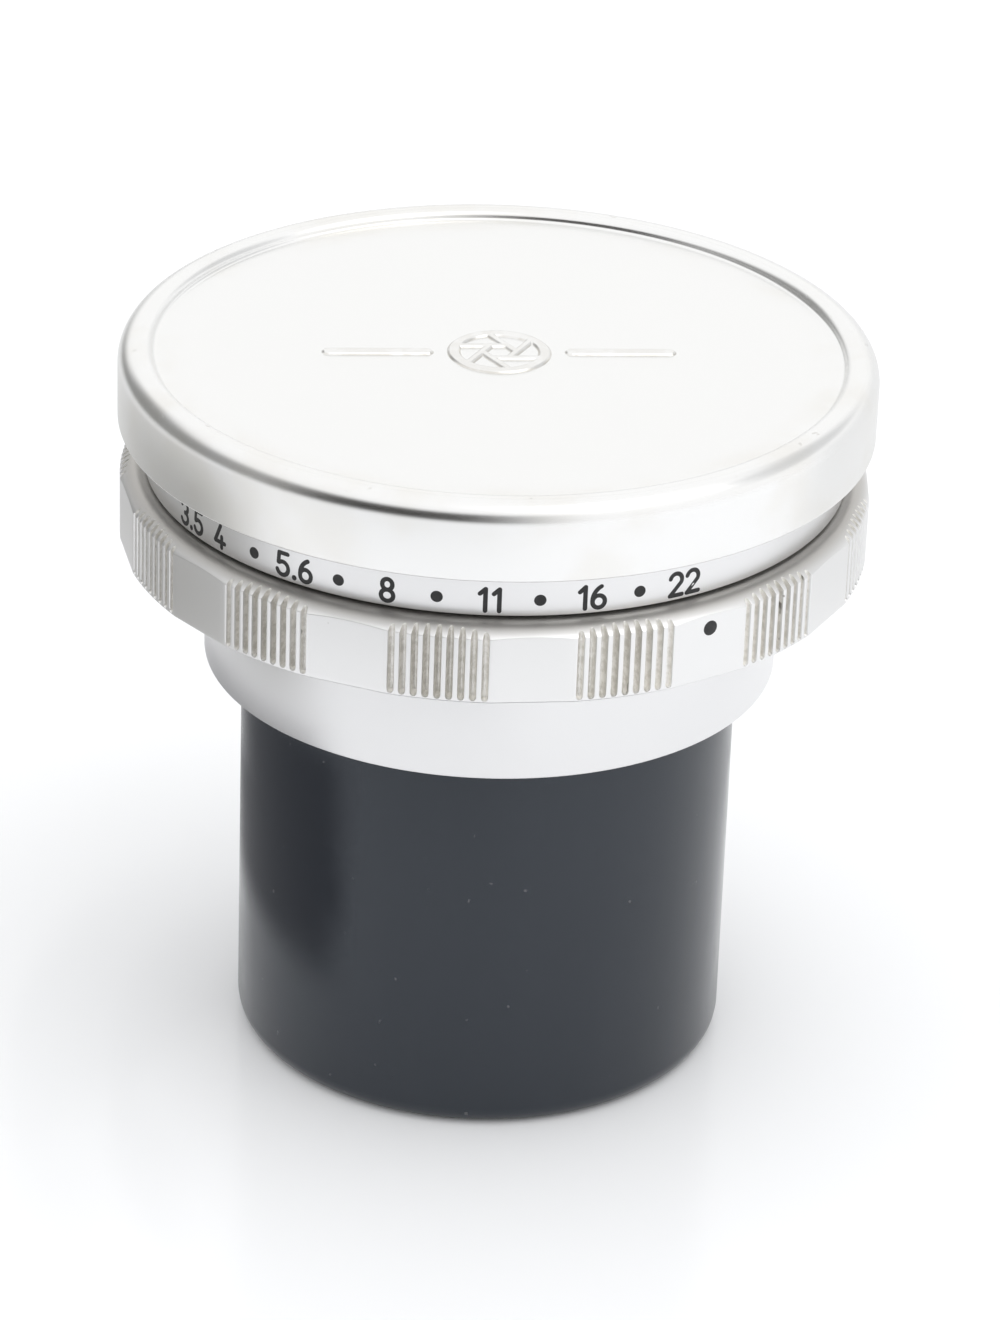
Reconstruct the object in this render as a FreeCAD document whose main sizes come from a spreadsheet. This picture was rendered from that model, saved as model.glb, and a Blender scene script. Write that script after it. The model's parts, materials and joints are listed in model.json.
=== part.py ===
"""Close-up lens head with a slip-on front cap and a screw-on rear keeper.

The lens stands on its keeper: origin at the centre of the keeper's base, +Z up the optical
axis, towards the front of the lens. Millimetres. An azimuth is measured about +Z from -Y,
positive towards +X, so a positive turn about +Z adds to it.
"""
import FreeCAD, Part
import math
import os
import Sketcher

# ---------------------------------------------------------------- driving dimensions
# alias, value, what it is. Names ending in _z are heights above the keeper's base.
SIZES = [
    ("keeper_radius", 17.0, "outside of the black keeper"),
    ("keeper_bore", 15.4, "inside of the keeper's wall"),
    ("keeper_floor_z", 1.6, "top of the keeper's floor"),
    ("keeper_corner", 1.3, "rounding round the keeper's foot"),
    ("keeper_edge", 0.25, "rounding of the keeper's mouth"),
    ("keeper_thread_low_z", 19.6, "start of the keeper's female thread"),
    ("keeper_thread_crest", 15.0, "female thread, smallest radius"),
    ("keeper_relief", 15.8, "relief bore above the female thread"),
    ("keeper_relief_z", 25.2, "foot of that relief"),
    ("thread_pitch", 1.0, "mounting thread"),
    ("thread_depth", 0.3, "mounting thread"),
    ("barrel_foot_z", 28.4, "barrel's rear face, on the keeper's mouth"),
    ("barrel_radius", 19.57, "plain silver barrel"),
    ("barrel_bore", 17.3, "inside of the barrel and its neck"),
    ("barrel_floor_z", 30.0, "top of the barrel's rear wall"),
    ("barrel_hole", 15.2, "hole in the barrel's rear wall"),
    ("barrel_shoulder_z", 36.95, "step that the aperture ring turns on"),
    ("neck_radius", 18.9, "neck inside the aperture ring"),
    ("neck_top_z", 44.9, "top of the neck"),
    ("spigot_register", 15.0, "plain register that centres the head"),
    ("spigot_register_z", 25.6, "foot of the register"),
    ("spigot_crest", 14.9, "male thread, crest radius"),
    ("spigot_foot_z", 19.4, "foot of the spigot"),
    ("spigot_bore", 13.3, "hole through the spigot"),
    ("spigot_flange", 17.2, "flange held inside the barrel"),
    ("spigot_top_z", 31.2, "top of the flange"),
    ("lock_ring_top_z", 32.4, "top of the rear lock ring"),
    ("cell_foot_z", 13.6, "rear end of the rear cell"),
    ("cell_top_z", 34.4, "front end of the rear cell"),
    ("cell_bore", 12.0, "inside of the rear cell"),
    ("doublet_radius", 11.7, "rear glass"),
    ("doublet_ledge_z", 34.0, "underside of the rear cell's front lip"),
    ("doublet_foot_z", 29.6, "edge of the rear glass"),
    ("cement_z", 33.1, "apex of the cemented surface"),
    ("doublet_apex_z", 27.6, "rearmost point of the rear glass"),
    ("retainer_foot_z", 28.2, "underside of the rear retaining ring"),
    ("baffle_top_z", 19.0, "top of the rear light baffle"),
    ("baffle_mouth", 9.6, "opening of the rear light baffle"),
    ("iris_base_z", 35.0, "underside of the iris base plate"),
    ("iris_base_top_z", 35.8, "top of the iris base plate"),
    ("iris_throat", 8.8, "hole in the base plate"),
    ("iris_open", 8.0, "radius of the full opening"),
    ("blade_width", 4.5, "width of a blade's crescent"),
    ("blade_sheet", 0.08, "thickness of a blade"),
    ("blade_step", 0.12, "height from one blade to the next"),
    ("blade_low_z", 35.92, "underside of the lowest blade"),
    ("blade_pivot_ring", 13.7, "radius of the circle of pivots"),
    ("blade_arm", 5.0, "pivot to driving stud"),
    ("blade_arm_angle", 75.0, "that arm's angle with the blade open"),
    ("blade_reach", 150.0, "angle that a crescent spans"),
    ("blade_swing", 28.3, "angle that a blade turns, open to closed"),
    ("blade_web", 2.6, "length of the web between a crescent and its pivot"),
    ("blade_eye", 0.95, "radius of a blade's end round the pivot"),
    ("blade_toe", 0.55, "radius of its end round the driving stud"),
    ("pivot_stud", 0.3, "radius of a pivot stud"),
    ("drive_stud", 0.22, "radius of a driving stud"),
    ("stud_play", 0.05, "radial clearance round the studs"),
    ("actuator_foot_z", 37.3, "underside of the turning slotted ring"),
    ("actuator_top_z", 38.7, "top of the turning slotted ring"),
    ("actuator_bore", 12.4, "inside of the turning slotted ring"),
    ("actuator_radius", 17.0, "outside of the turning slotted ring"),
    ("iris_cover_z", 38.85, "underside of the iris retaining ring"),
    ("iris_cover_top_z", 39.6, "top of the iris retaining ring"),
    ("iris_cover_bore", 12.9, "inside of the iris retaining ring"),
    ("driver_z", 38.0, "height of the driving screw"),
    ("driver_tip", 0.5, "radius of its dog point"),
    ("driver_body", 0.8, "radius of its threaded part"),
    ("driver_end", 24.3, "how far out it reaches"),
    ("driver_azimuth", 168.3, "azimuth of the driving screw at rest"),
    ("front_cell_foot_z", 37.4, "rear end of the front cell"),
    ("front_cell_nose", 12.2, "front cell inside the slotted ring"),
    ("front_cell_top_z", 43.2, "front face of the front cell"),
    ("middle_bore", 10.6, "seat of the middle glass"),
    ("middle_foot_z", 37.8, "rear edge of the middle glass"),
    ("middle_top_z", 40.3, "front edge of the middle glass"),
    ("front_bore", 12.3, "seat of the front glass"),
    ("front_foot_z", 41.0, "rear edge of the front glass"),
    ("front_edge_z", 42.0, "front edge of the front glass"),
    ("front_retainer_top_z", 43.0, "top of the front retaining ring"),
    ("bezel_lip_z", 43.5, "inner edge of the front bezel"),
    ("scale_radius", 23.7, "fixed ring with the stop numbers"),
    ("scale_foot_z", 42.62, "lower edge of that ring"),
    ("scale_top_z", 49.2, "front rim of that ring"),
    ("filter_bore", 20.5, "filter seat inside the front rim"),
    ("filter_floor_z", 45.2, "floor of the filter seat"),
    ("numeral_z", 43.58, "height of the middle of the stop numbers"),
    ("numeral_height", 1.76, "height of a stop number"),
    ("numeral_stroke", 0.28, "width of an engraved stroke"),
    ("numeral_depth", 0.12, "depth of the engraving"),
    ("stop_spacing", 16.0, "degrees from one full stop to the next"),
    ("last_stop", 27.3, "azimuth of the smallest stop"),
    ("ring_foot_z", 37.0, "underside of the aperture ring"),
    ("ring_top_z", 42.3, "top of the aperture ring"),
    ("ring_radius", 25.35, "crest of the aperture ring's knurl"),
    ("ring_bore", 18.95, "inside of the aperture ring"),
    ("ring_bevel", 0.75, "height of the cone round the top of the aperture ring"),
    ("ring_crown", 24.35, "radius where that cone ends"),
    ("ring_edge", 0.25, "bevel round its lower edge"),
    ("ring_panels", 13.0, "number of plain facets"),
    ("facet_angle", 12.1, "angle that a plain facet spans"),
    ("facet_azimuth", 29.85, "azimuth of the facet with the index dot"),
    ("groove_count", 9.0, "grooves in one knurled stretch"),
    ("groove_depth", 0.7, "deepest knurl groove"),
    ("groove_end_depth", 0.3, "shallowest knurl groove"),
    ("groove_land", 0.25, "crest left on each side of a groove, as a share of its pitch"),
    ("index_z", 40.72, "height of the index dot"),
    ("index_radius", 0.52, "index dot"),
    ("cap_radius", 25.5, "outside of the front cap"),
    ("cap_foot_z", 45.7, "lower edge of the cap's skirt"),
    ("cap_top_z", 51.0, "crest of the cap's rim"),
    ("cap_wall", 0.85, "thickness of the skirt"),
    ("cap_panel", 23.0, "radius of the flat panel"),
    ("cap_panel_z", 50.3, "top of the flat panel"),
    ("cap_underside_z", 49.55, "underside of the panel"),
    ("cap_rim", 24.05, "radius of the rim's crest"),
    ("cap_brow", 23.35, "radius where the rim falls steeply to the panel"),
    ("cap_brow_z", 50.78, "height of that fall"),
    ("cap_round", 1.4, "rounding outside the rim"),
    ("liner_bore", 23.76, "inside of the cap's liner"),
    ("liner_foot_z", 46.1, "lower edge of the liner"),
    ("emblem_height", 0.15, "height of the raised emblem"),
    ("emblem_radius", 3.3, "raised emblem's ring"),
]
VALUE = {alias: value for alias, value, note in SIZES}

BLADES = 10
RING_TURN = 90.0      # degrees that the aperture ring turns, open to closed
STOPS = ["3.5", "4", "5.6", "8", "11", "16", "22"]
# Half stops with a dot, counted in full stops from the widest marked whole stop, which is 4.
STOP_OFFSETS = [-0.481, 0.0, 1.0, 2.0, 3.0, 4.0, 5.0]
HALF_STOPS = [0.5, 1.5, 2.5, 3.5, 4.5]

doc = FreeCAD.newDocument("LensHead")
sheet = doc.addObject("Spreadsheet::Sheet", "Sheet")
for row, (alias, value, note) in enumerate(SIZES, start=1):
    sheet.set(f"A{row}", alias)
    sheet.set(f"B{row}", str(value))
    sheet.setAlias(f"B{row}", alias)
    sheet.set(f"C{row}", note)
doc.recompute()

nodes = []


# ---------------------------------------------------------------- helpers
def amount(text):
    """The value of a sum of cells and numbers, such as 'neck_top_z - 0.3'."""
    total = 0.0
    sign = 1.0
    for word in text.split():
        if word == "+":
            sign = 1.0
        elif word == "-":
            sign = -1.0
        else:
            total += sign * (float(word) if word[0].isdigit() else VALUE[word])
    return total


def bound(text):
    """The same sum as an expression on the sheet's cells."""
    words = text.split()
    return " ".join(w if w in "+-" or w[0].isdigit() else "Sheet." + w for w in words)


def bind(thing, **sums):
    """Bind properties of an object to sums; a double underscore in a name stands for a dot."""
    for prop, text in sums.items():
        thing.setExpression(prop.replace("__", "."), bound(text))
    return thing


def keep(thing, label):
    """Hand a finished sub-part in under its own name."""
    thing.Label = label
    nodes.append(thing)
    return thing


def polar(radius, azimuth):
    """A point at an azimuth from -Y, positive towards +X."""
    angle = math.radians(azimuth)
    return FreeCAD.Vector(radius * math.sin(angle), -radius * math.cos(angle), 0)


def turned(name, profile):
    """A body turned about Z. The profile is a closed list of (radius, height) sums."""
    body = doc.addObject("PartDesign::Body", name)
    plane = [f for f in body.Origin.OriginFeatures if f.Role == "XZ_Plane"][0]
    sketch = body.newObject("Sketcher::SketchObject", name + "_profile")
    sketch.AttachmentSupport = (plane, [""])
    sketch.MapMode = "FlatFace"
    points = [FreeCAD.Vector(amount(r), amount(z), 0) for r, z in profile]
    count = len(points)
    for i in range(count):
        sketch.addGeometry(Part.LineSegment(points[i], points[(i + 1) % count]), False)
    for i in range(count):
        sketch.addConstraint(Sketcher.Constraint("Coincident", i, 2, (i + 1) % count, 1))
    for i, (r, z) in enumerate(profile):
        if amount(r) == 0:
            sketch.addConstraint(Sketcher.Constraint("PointOnObject", i, 1, -2))
        else:
            side = Sketcher.Constraint("DistanceX", -1, 1, i, 1, points[i].x)
            sketch.setExpression(f"Constraints[{sketch.addConstraint(side)}]", bound(r))
        rise = amount(z)
        if rise == 0:
            sketch.addConstraint(Sketcher.Constraint("PointOnObject", i, 1, -1))
        else:
            up = Sketcher.Constraint("DistanceY", -1, 1, i, 1, rise)
            sketch.setExpression(f"Constraints[{sketch.addConstraint(up)}]", bound(z))
    turn = body.newObject("PartDesign::Revolution", name + "_turn")
    turn.Profile = sketch
    turn.ReferenceAxis = (sketch, ["V_Axis"])
    turn.Angle = 360
    sketch.Visibility = False
    doc.recompute()
    return body


def rounded(body, radius_sum, circles):
    """Round the circular edges of a body's last feature, given as (radius, height) sums."""
    last = body.Tip
    names = []
    for number, edge in enumerate(last.Shape.Edges, start=1):
        curve = edge.Curve
        if not isinstance(curve, Part.Circle):
            continue
        for r, z in circles:
            if abs(curve.Radius - amount(r)) < 0.01 and abs(curve.Center.z - amount(z)) < 0.01:
                names.append(f"Edge{number}")
    fillet = body.newObject("PartDesign::Fillet", body.Name + "_round")
    fillet.Base = (last, names)
    bind(fillet, Radius=radius_sum)
    doc.recompute()
    return body


def cylinder(name, radius, low, high):
    """A Part cylinder on Z from one height to another."""
    solid = doc.addObject("Part::Cylinder", name)
    bind(solid, Radius=radius, Placement__Base__z=low)
    solid.setExpression("Height", f"({bound(high)}) - ({bound(low)})")
    return solid


def ball(name, radius, centre):
    """A Part sphere centred on Z; the centre is a sum."""
    solid = doc.addObject("Part::Sphere", name)
    return bind(solid, Radius=radius, Placement__Base__z=centre)


def cut(name, base, tool):
    thing = doc.addObject("Part::Cut", name)
    thing.Base = base
    thing.Tool = tool
    return thing


def joined(name, pieces):
    thing = doc.addObject("Part::MultiFuse", name)
    thing.Shapes = pieces
    return thing


def shared(name, pieces):
    thing = doc.addObject("Part::MultiCommon", name)
    thing.Shapes = pieces
    return thing


def free_shape(name, shape):
    """A Part::Feature, for an outline or a shape that no primitive or sketch feature fits."""
    thing = doc.addObject("Part::Feature", name)
    thing.Shape = shape
    return thing


def thread(crest, root, low, turns):
    """Profile points of a run of ring-shaped thread grooves, upwards from a height."""
    points = []
    pitch = VALUE["thread_pitch"]
    for k in range(turns):
        start = k * pitch
        points.append((crest, f"{low} + {start:.2f}"))
        points.append((crest, f"{low} + {start + 0.30 * pitch:.2f}"))
        points.append((root, f"{low} + {start + 0.55 * pitch:.2f}"))
        points.append((root, f"{low} + {start + 0.75 * pitch:.2f}"))
    return points


# ---------------------------------------------------------------- keeper
def build_keeper():
    mouth = "barrel_foot_z"
    groove_root = "keeper_thread_crest + thread_depth"
    inner = thread("keeper_thread_crest", groove_root, "keeper_thread_low_z", 5)
    profile = [("0", "0"), ("keeper_radius", "0"), ("keeper_radius", mouth)]
    profile += [("keeper_relief", mouth), ("keeper_relief", "keeper_relief_z")]
    profile += [("keeper_thread_crest", "keeper_relief_z")]
    profile += list(reversed(inner))
    profile += [("keeper_bore", "keeper_thread_low_z - 0.4")]
    profile += [("keeper_bore", "keeper_floor_z"), ("0", "keeper_floor_z")]
    body = turned("rear_keeper", profile)
    rounded(body, "keeper_corner", [("keeper_radius", "0")])
    rounded(body, "keeper_edge", [("keeper_radius", mouth)])
    keep(body, "rear_keeper")


# ---------------------------------------------------------------- barrel and rear parts
def build_barrel():
    shell = turned("barrel_shell", [
        ("barrel_hole", "barrel_foot_z"), ("barrel_radius", "barrel_foot_z"),
        ("barrel_radius", "barrel_shoulder_z"), ("neck_radius", "barrel_shoulder_z"),
        ("neck_radius", "neck_top_z"), ("barrel_bore", "neck_top_z"),
        ("barrel_bore", "barrel_floor_z"), ("barrel_hole", "barrel_floor_z")])
    # The slot that the driving screw travels in: a sector cut through the neck's wall.
    margin = 4.0
    sweep = RING_TURN + 2 * margin
    start = VALUE["driver_azimuth"] - sweep + margin
    sector = doc.addObject("Part::Cylinder", "driver_slot")
    bind(sector, Radius="neck_radius + 0.05", Height="driver_tip + driver_tip + 0.4",
         Placement__Base__z="driver_z - driver_tip - 0.2")
    sector.Angle = sweep
    sector.Placement.Rotation = FreeCAD.Rotation(FreeCAD.Vector(0, 0, 1), start - 90)
    keep(cut("barrel_slotted", shell, sector), "barrel")


def build_rear_group():
    root = "spigot_crest - thread_depth"
    male = thread("spigot_crest", root, "spigot_foot_z", 6)
    spigot = [("spigot_bore", "spigot_foot_z")] + male
    spigot += [("spigot_crest", "spigot_register_z"), ("spigot_register", "spigot_register_z"),
               ("spigot_register", "barrel_foot_z"), ("barrel_hole", "barrel_foot_z"),
               ("barrel_hole", "barrel_floor_z"), ("spigot_flange", "barrel_floor_z"),
               ("spigot_flange", "spigot_top_z"), ("spigot_bore", "spigot_top_z")]
    keep(turned("rear_spigot", spigot), "rear_spigot")
    keep(turned("rear_lock_ring", [
        ("barrel_hole", "spigot_top_z"), ("barrel_bore", "spigot_top_z"),
        ("barrel_bore", "lock_ring_top_z"), ("barrel_hole", "lock_ring_top_z")]),
        "rear_lock_ring")
    keep(turned("rear_cell", [
        ("cell_bore", "cell_foot_z"), ("spigot_bore - 0.6", "cell_foot_z"),
        ("spigot_bore - 0.3", "cell_foot_z + 0.3"), ("spigot_bore - 0.3", "spigot_foot_z"),
        ("spigot_bore", "spigot_foot_z"), ("spigot_bore", "cell_top_z"),
        ("doublet_radius - 1", "cell_top_z"), ("doublet_radius - 1", "doublet_ledge_z"),
        ("doublet_radius", "doublet_ledge_z"), ("doublet_radius", "doublet_foot_z"),
        ("cell_bore", "doublet_foot_z")]), "rear_cell")
    # The cemented pair: a thin negative in front of a biconvex positive.
    cement_curve = 24.0
    rear_curve = 34.0
    dome_centre = f"cement_z - {cement_curve}"
    front_blank = cylinder("negative_blank", "doublet_radius", "doublet_foot_z", "doublet_ledge_z")
    hollow = ball("cement_hollow", f"{cement_curve}", dome_centre)
    keep(cut("negative_ground", front_blank, hollow), "doublet_negative")
    rear_blank = cylinder("positive_blank", "doublet_radius", "doublet_apex_z", "doublet_ledge_z")
    dome = ball("cement_dome", f"{cement_curve}", dome_centre)
    bowl = ball("rear_bowl", f"{rear_curve}", f"doublet_apex_z + {rear_curve}")
    keep(shared("positive_ground", [rear_blank, dome, bowl]), "doublet_positive")
    keep(turned("rear_retainer", [
        ("doublet_radius - 0.9", "retainer_foot_z"), ("cell_bore", "retainer_foot_z"),
        ("cell_bore", "doublet_foot_z"), ("doublet_radius - 0.15", "doublet_foot_z"),
        ("doublet_radius - 0.9", "doublet_foot_z - 0.55")]), "rear_retainer")
    steps = 4
    baffle = [("baffle_mouth", "cell_foot_z"), ("cell_bore", "cell_foot_z"),
              ("cell_bore", "baffle_top_z")]
    rise = (VALUE["baffle_top_z"] - VALUE["cell_foot_z"]) / steps
    for k in range(steps):
        baffle.append((f"cell_bore - {0.25 + 0.5 * k:.2f}", f"baffle_top_z - {rise * k:.3f}"))
        baffle.append((f"cell_bore - {0.25 + 0.5 * k:.2f}", f"baffle_top_z - {rise * (k + 0.7):.3f}"))
    keep(turned("rear_baffle", baffle), "rear_baffle")


# ---------------------------------------------------------------- iris
def build_iris():
    keep(turned("iris_spacer", [
        ("barrel_bore - 1.4", "lock_ring_top_z"), ("barrel_bore", "lock_ring_top_z"),
        ("barrel_bore", "iris_base_z"), ("barrel_bore - 1.4", "iris_base_z")]), "iris_spacer")
    plate = turned("iris_base_plate", [
        ("iris_throat", "iris_base_z"), ("barrel_bore", "iris_base_z"),
        ("barrel_bore", "iris_base_top_z"), ("iris_throat", "iris_base_top_z")])
    holes = []
    for k in range(BLADES):
        hole = doc.addObject("Part::Cylinder", f"pivot_hole_{k + 1}")
        bind(hole, Radius="pivot_stud + stud_play", Height="iris_base_top_z - iris_base_z + 1")
        spot = polar(VALUE["blade_pivot_ring"], k * 360 / BLADES)
        spot.z = VALUE["iris_base_z"] - 0.5
        hole.Placement.Base = spot
        holes.append(hole)
    keep(cut("iris_base_drilled", plate, joined("pivot_holes", holes)), "iris_base")
    for k in range(BLADES):
        build_blade(k)
    build_actuator()
    keep(turned("iris_cover", [
        ("iris_cover_bore", "iris_cover_z"), ("barrel_bore", "iris_cover_z"),
        ("barrel_bore", "iris_cover_top_z"), ("iris_cover_bore", "iris_cover_top_z")]),
        "iris_cover")


def build_blade(k):
    """One crescent leaf in its own frame: pivot at the origin, optical axis on -X, open."""
    tag = f"blade_{k + 1}"
    level = VALUE["blade_low_z"] + k * VALUE["blade_step"]
    lead = 1.0
    leaf = []
    for side, radius in (("outer", "iris_open + blade_width"), ("inner", "iris_open")):
        sector = doc.addObject("Part::Cylinder", f"{tag}_{side}")
        bind(sector, Radius=radius, Angle="blade_reach", Placement__Base__x="0 - blade_pivot_ring")
        sector.Placement.Rotation = FreeCAD.Rotation(FreeCAD.Vector(0, 0, 1), lead)
        leaf.append(sector)
    bind(leaf[0], Height="blade_sheet")
    bind(leaf[1], Height="blade_sheet + 1", Placement__Base__z="0 - 0.5")
    bind(leaf[1], Angle="blade_reach + 8")
    leaf[1].Placement.Rotation = FreeCAD.Rotation(FreeCAD.Vector(0, 0, 1), lead - 4)
    crescent = cut(f"{tag}_crescent", leaf[0], leaf[1])
    web = doc.addObject("Part::Box", f"{tag}_web")
    bind(web, Length="blade_web", Width="blade_eye + blade_eye", Height="blade_sheet",
         Placement__Base__x="0 - blade_web")
    arm = doc.addObject("Part::Box", f"{tag}_arm")
    bind(arm, Length="blade_arm", Width="blade_toe + blade_toe", Height="blade_sheet")
    turn = FreeCAD.Rotation(FreeCAD.Vector(0, 0, 1), VALUE["blade_arm_angle"])
    arm_side = turn.multVec(FreeCAD.Vector(0, -VALUE["blade_toe"], 0))
    arm.Placement = FreeCAD.Placement(arm_side, turn)
    stud_at = turn.multVec(FreeCAD.Vector(VALUE["blade_arm"], 0, 0))
    eyes = []
    pivot_at = FreeCAD.Vector(0, 0, 0)
    for name, spot, radius in (("heel", pivot_at, "blade_eye"), ("toe", stud_at, "blade_toe")):
        eye = doc.addObject("Part::Cylinder", f"{tag}_{name}")
        bind(eye, Radius=radius, Height="blade_sheet")
        eye.Placement.Base = spot
        eyes.append(eye)
    pivot = doc.addObject("Part::Cylinder", f"{tag}_pivot")
    drop = level - VALUE["iris_base_z"] - 0.1
    bind(pivot, Radius="pivot_stud")
    pivot.Height = drop + VALUE["blade_sheet"]
    pivot.Placement.Base = FreeCAD.Vector(0, 0, -drop)
    stud = doc.addObject("Part::Cylinder", f"{tag}_stud")
    bind(stud, Radius="drive_stud")
    stud.Height = VALUE["actuator_top_z"] - 0.2 - level
    stud.Placement.Base = stud_at
    blade = joined(tag, [crescent, web, arm, pivot, stud] + eyes)
    azimuth = k * 360 / BLADES
    spot = polar(VALUE["blade_pivot_ring"], azimuth)
    spot.z = level
    blade.Placement = FreeCAD.Placement(
        spot, FreeCAD.Rotation(FreeCAD.Vector(0, 0, 1), azimuth - 90 + VALUE["blade_swing"]))
    keep(blade, tag)


def stud_place(share):
    """A driving stud's radius and azimuth past its pivot, from closed (0) to open (1)."""
    angle = math.radians(VALUE["blade_arm_angle"] + VALUE["blade_swing"] * (1 - share))
    x = VALUE["blade_pivot_ring"] + VALUE["blade_arm"] * math.cos(angle)
    y = VALUE["blade_arm"] * math.sin(angle)
    return math.hypot(x, y), math.degrees(math.atan2(y, x))


def build_actuator():
    """The turning ring. Its slots are the paths of the studs, seen from the ring."""
    half = VALUE["drive_stud"] + VALUE["stud_play"]
    steps = 20
    spine = []
    for i in range(-1, steps + 2):
        radius, azimuth = stud_place(i / steps)
        spine.append(polar(radius, azimuth + RING_TURN * i / steps))
    sides = ([], [])
    for i in range(1, len(spine) - 1):
        along = (spine[i + 1] - spine[i - 1]).normalize()
        across = FreeCAD.Vector(-along.y, along.x, 0) * half
        sides[0].append(spine[i] + across)
        sides[1].append(spine[i] - across)
    run = (spine[2] - spine[1]).normalize() * half
    first = Part.Arc(sides[1][0], spine[1] - run, sides[0][0]).toShape()
    run = (spine[-2] - spine[-3]).normalize() * half
    last = Part.Arc(sides[0][-1], spine[-2] + run, sides[1][-1]).toShape()
    edges = [Part.makePolygon(sides[0]).Edges, [last], Part.makePolygon(sides[1]).Edges, [first]]
    slot = Part.Wire(Part.__sortEdges__([e for group in edges for e in group]))
    disc = Part.Face(Part.Wire(Part.makeCircle(VALUE["actuator_radius"])))
    openings = [Part.Face(Part.Wire(Part.makeCircle(VALUE["actuator_bore"])))]
    for k in range(BLADES):
        turned_slot = slot.copy()
        turned_slot.rotate(FreeCAD.Vector(0, 0, 0), FreeCAD.Vector(0, 0, 1), k * 360 / BLADES)
        openings.append(Part.Face(turned_slot))
    face = disc.cut(openings)
    ring = face.extrude(FreeCAD.Vector(0, 0, VALUE["actuator_top_z"] - VALUE["actuator_foot_z"]))
    ring.translate(FreeCAD.Vector(0, 0, VALUE["actuator_foot_z"]))
    blank = free_shape("actuator_blank", ring.Solids[0])
    keep(cut("actuator_drilled", blank, driver_hole("actuator_notch", "driver_tip")),
         "iris_actuator")


# ---------------------------------------------------------------- driving screw
def lay_radially(solid, radius):
    """Point a Part cylinder outwards at the driving screw's azimuth, from a radius."""
    azimuth = VALUE["driver_azimuth"]
    outward = FreeCAD.Rotation(FreeCAD.Vector(0, 0, 1), polar(1, azimuth))
    spot = polar(radius, azimuth)
    spot.z = VALUE["driver_z"]
    solid.Placement = FreeCAD.Placement(spot, outward)
    return solid


DRIVER_START = VALUE["actuator_radius"] - 0.55
DRIVER_STEP = VALUE["ring_bore"] + 0.35


def driver_hole(name, radius):
    hole = doc.addObject("Part::Cylinder", name)
    bind(hole, Radius=radius)
    hole.Height = DRIVER_STEP - DRIVER_START
    return lay_radially(hole, DRIVER_START)


def build_driver():
    dog = driver_hole("driver_dog", "driver_tip")
    body = doc.addObject("Part::Cylinder", "driver_thread")
    bind(body, Radius="driver_body")
    body.Height = VALUE["driver_end"] - DRIVER_STEP
    lay_radially(body, DRIVER_STEP)
    slot_depth = 0.5
    slot_width = 0.3
    slot_reach = 1.2
    slot = doc.addObject("Part::Box", "driver_slot_cut")
    slot.Length = 2 * slot_reach
    slot.Width = slot_width
    slot.Height = 1
    corner = FreeCAD.Vector(-slot_reach, -slot_width / 2, body.Height.Value - slot_depth)
    slot.Placement = body.Placement.multiply(FreeCAD.Placement(corner, FreeCAD.Rotation()))
    keep(cut("driver_screw", joined("driver_blank", [dog, body]), slot), "drive_screw")


# ---------------------------------------------------------------- aperture ring
def knurl_outline():
    """The ring's outline from above: plain flat facets and stretches of blunt grooves."""
    panels = int(VALUE["ring_panels"])
    grooves = int(VALUE["groove_count"])
    crest = VALUE["ring_radius"]
    pitch = 360 / panels
    stretch = pitch - VALUE["facet_angle"]
    land = VALUE["groove_land"]
    floor_half = 0.12     # half of a groove's flat floor, as a share of its pitch
    points = []
    for panel in range(panels):
        start = VALUE["facet_azimuth"] + panel * pitch + VALUE["facet_angle"] / 2
        for i in range(grooves):
            across = 2 * (i + 0.5) / grooves - 1
            spread = VALUE["groove_depth"] - VALUE["groove_end_depth"]
            depth = VALUE["groove_end_depth"] + spread * (1 - across * across)
            outline = [(land, 0), (0.5 - floor_half, depth), (0.5 + floor_half, depth), (1 - land, 0)]
            for share, sunk in outline:
                points.append(polar(crest - sunk, start + stretch * (i + share) / grooves))
    points.append(points[0])
    return points


def build_aperture_ring():
    outline = free_shape("knurl_outline", Part.Face(Part.makePolygon(knurl_outline())))
    prism = doc.addObject("Part::Extrusion", "knurl_prism")
    prism.Base = outline
    prism.Dir = FreeCAD.Vector(0, 0, 1)
    bind(prism, LengthFwd="ring_top_z - ring_foot_z", Placement__Base__z="ring_foot_z")
    prism.Solid = True
    blank = turned("ring_blank", [
        ("ring_bore", "ring_foot_z"), ("ring_radius - ring_edge", "ring_foot_z"),
        ("ring_radius + 0.01", "ring_foot_z + ring_edge"),
        ("ring_radius + 0.01", "ring_top_z - ring_bevel"),
        ("ring_crown", "ring_top_z"), ("ring_bore", "ring_top_z")])
    ring = shared("ring_knurled", [prism, blank])
    hole = driver_hole("ring_dog_hole", "driver_tip")
    tapped = doc.addObject("Part::Cylinder", "ring_tapped_hole")
    bind(tapped, Radius="driver_body")
    tapped.Height = VALUE["ring_radius"] + 1 - DRIVER_STEP
    lay_radially(tapped, DRIVER_STEP)
    facet = VALUE["ring_radius"] * math.cos(math.radians(VALUE["facet_angle"] / 2))
    dot_at = polar(facet - VALUE["numeral_depth"], VALUE["facet_azimuth"])
    dot_at.z = VALUE["index_z"]
    outward = FreeCAD.Rotation(FreeCAD.Vector(0, 0, 1), polar(1, VALUE["facet_azimuth"]))
    dots = []
    for name in ("index_pit", "index_fill"):
        dot = doc.addObject("Part::Cylinder", name)
        bind(dot, Radius="index_radius", Height="numeral_depth")
        dot.Placement = FreeCAD.Placement(dot_at, outward)
        dots.append(dot)
    bind(dots[0], Height="numeral_depth + 1")
    keep(cut("ring_drilled", ring, joined("ring_holes", [hole, tapped, dots[0]])), "aperture_ring")
    keep(dots[1], "index_dot")


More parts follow.
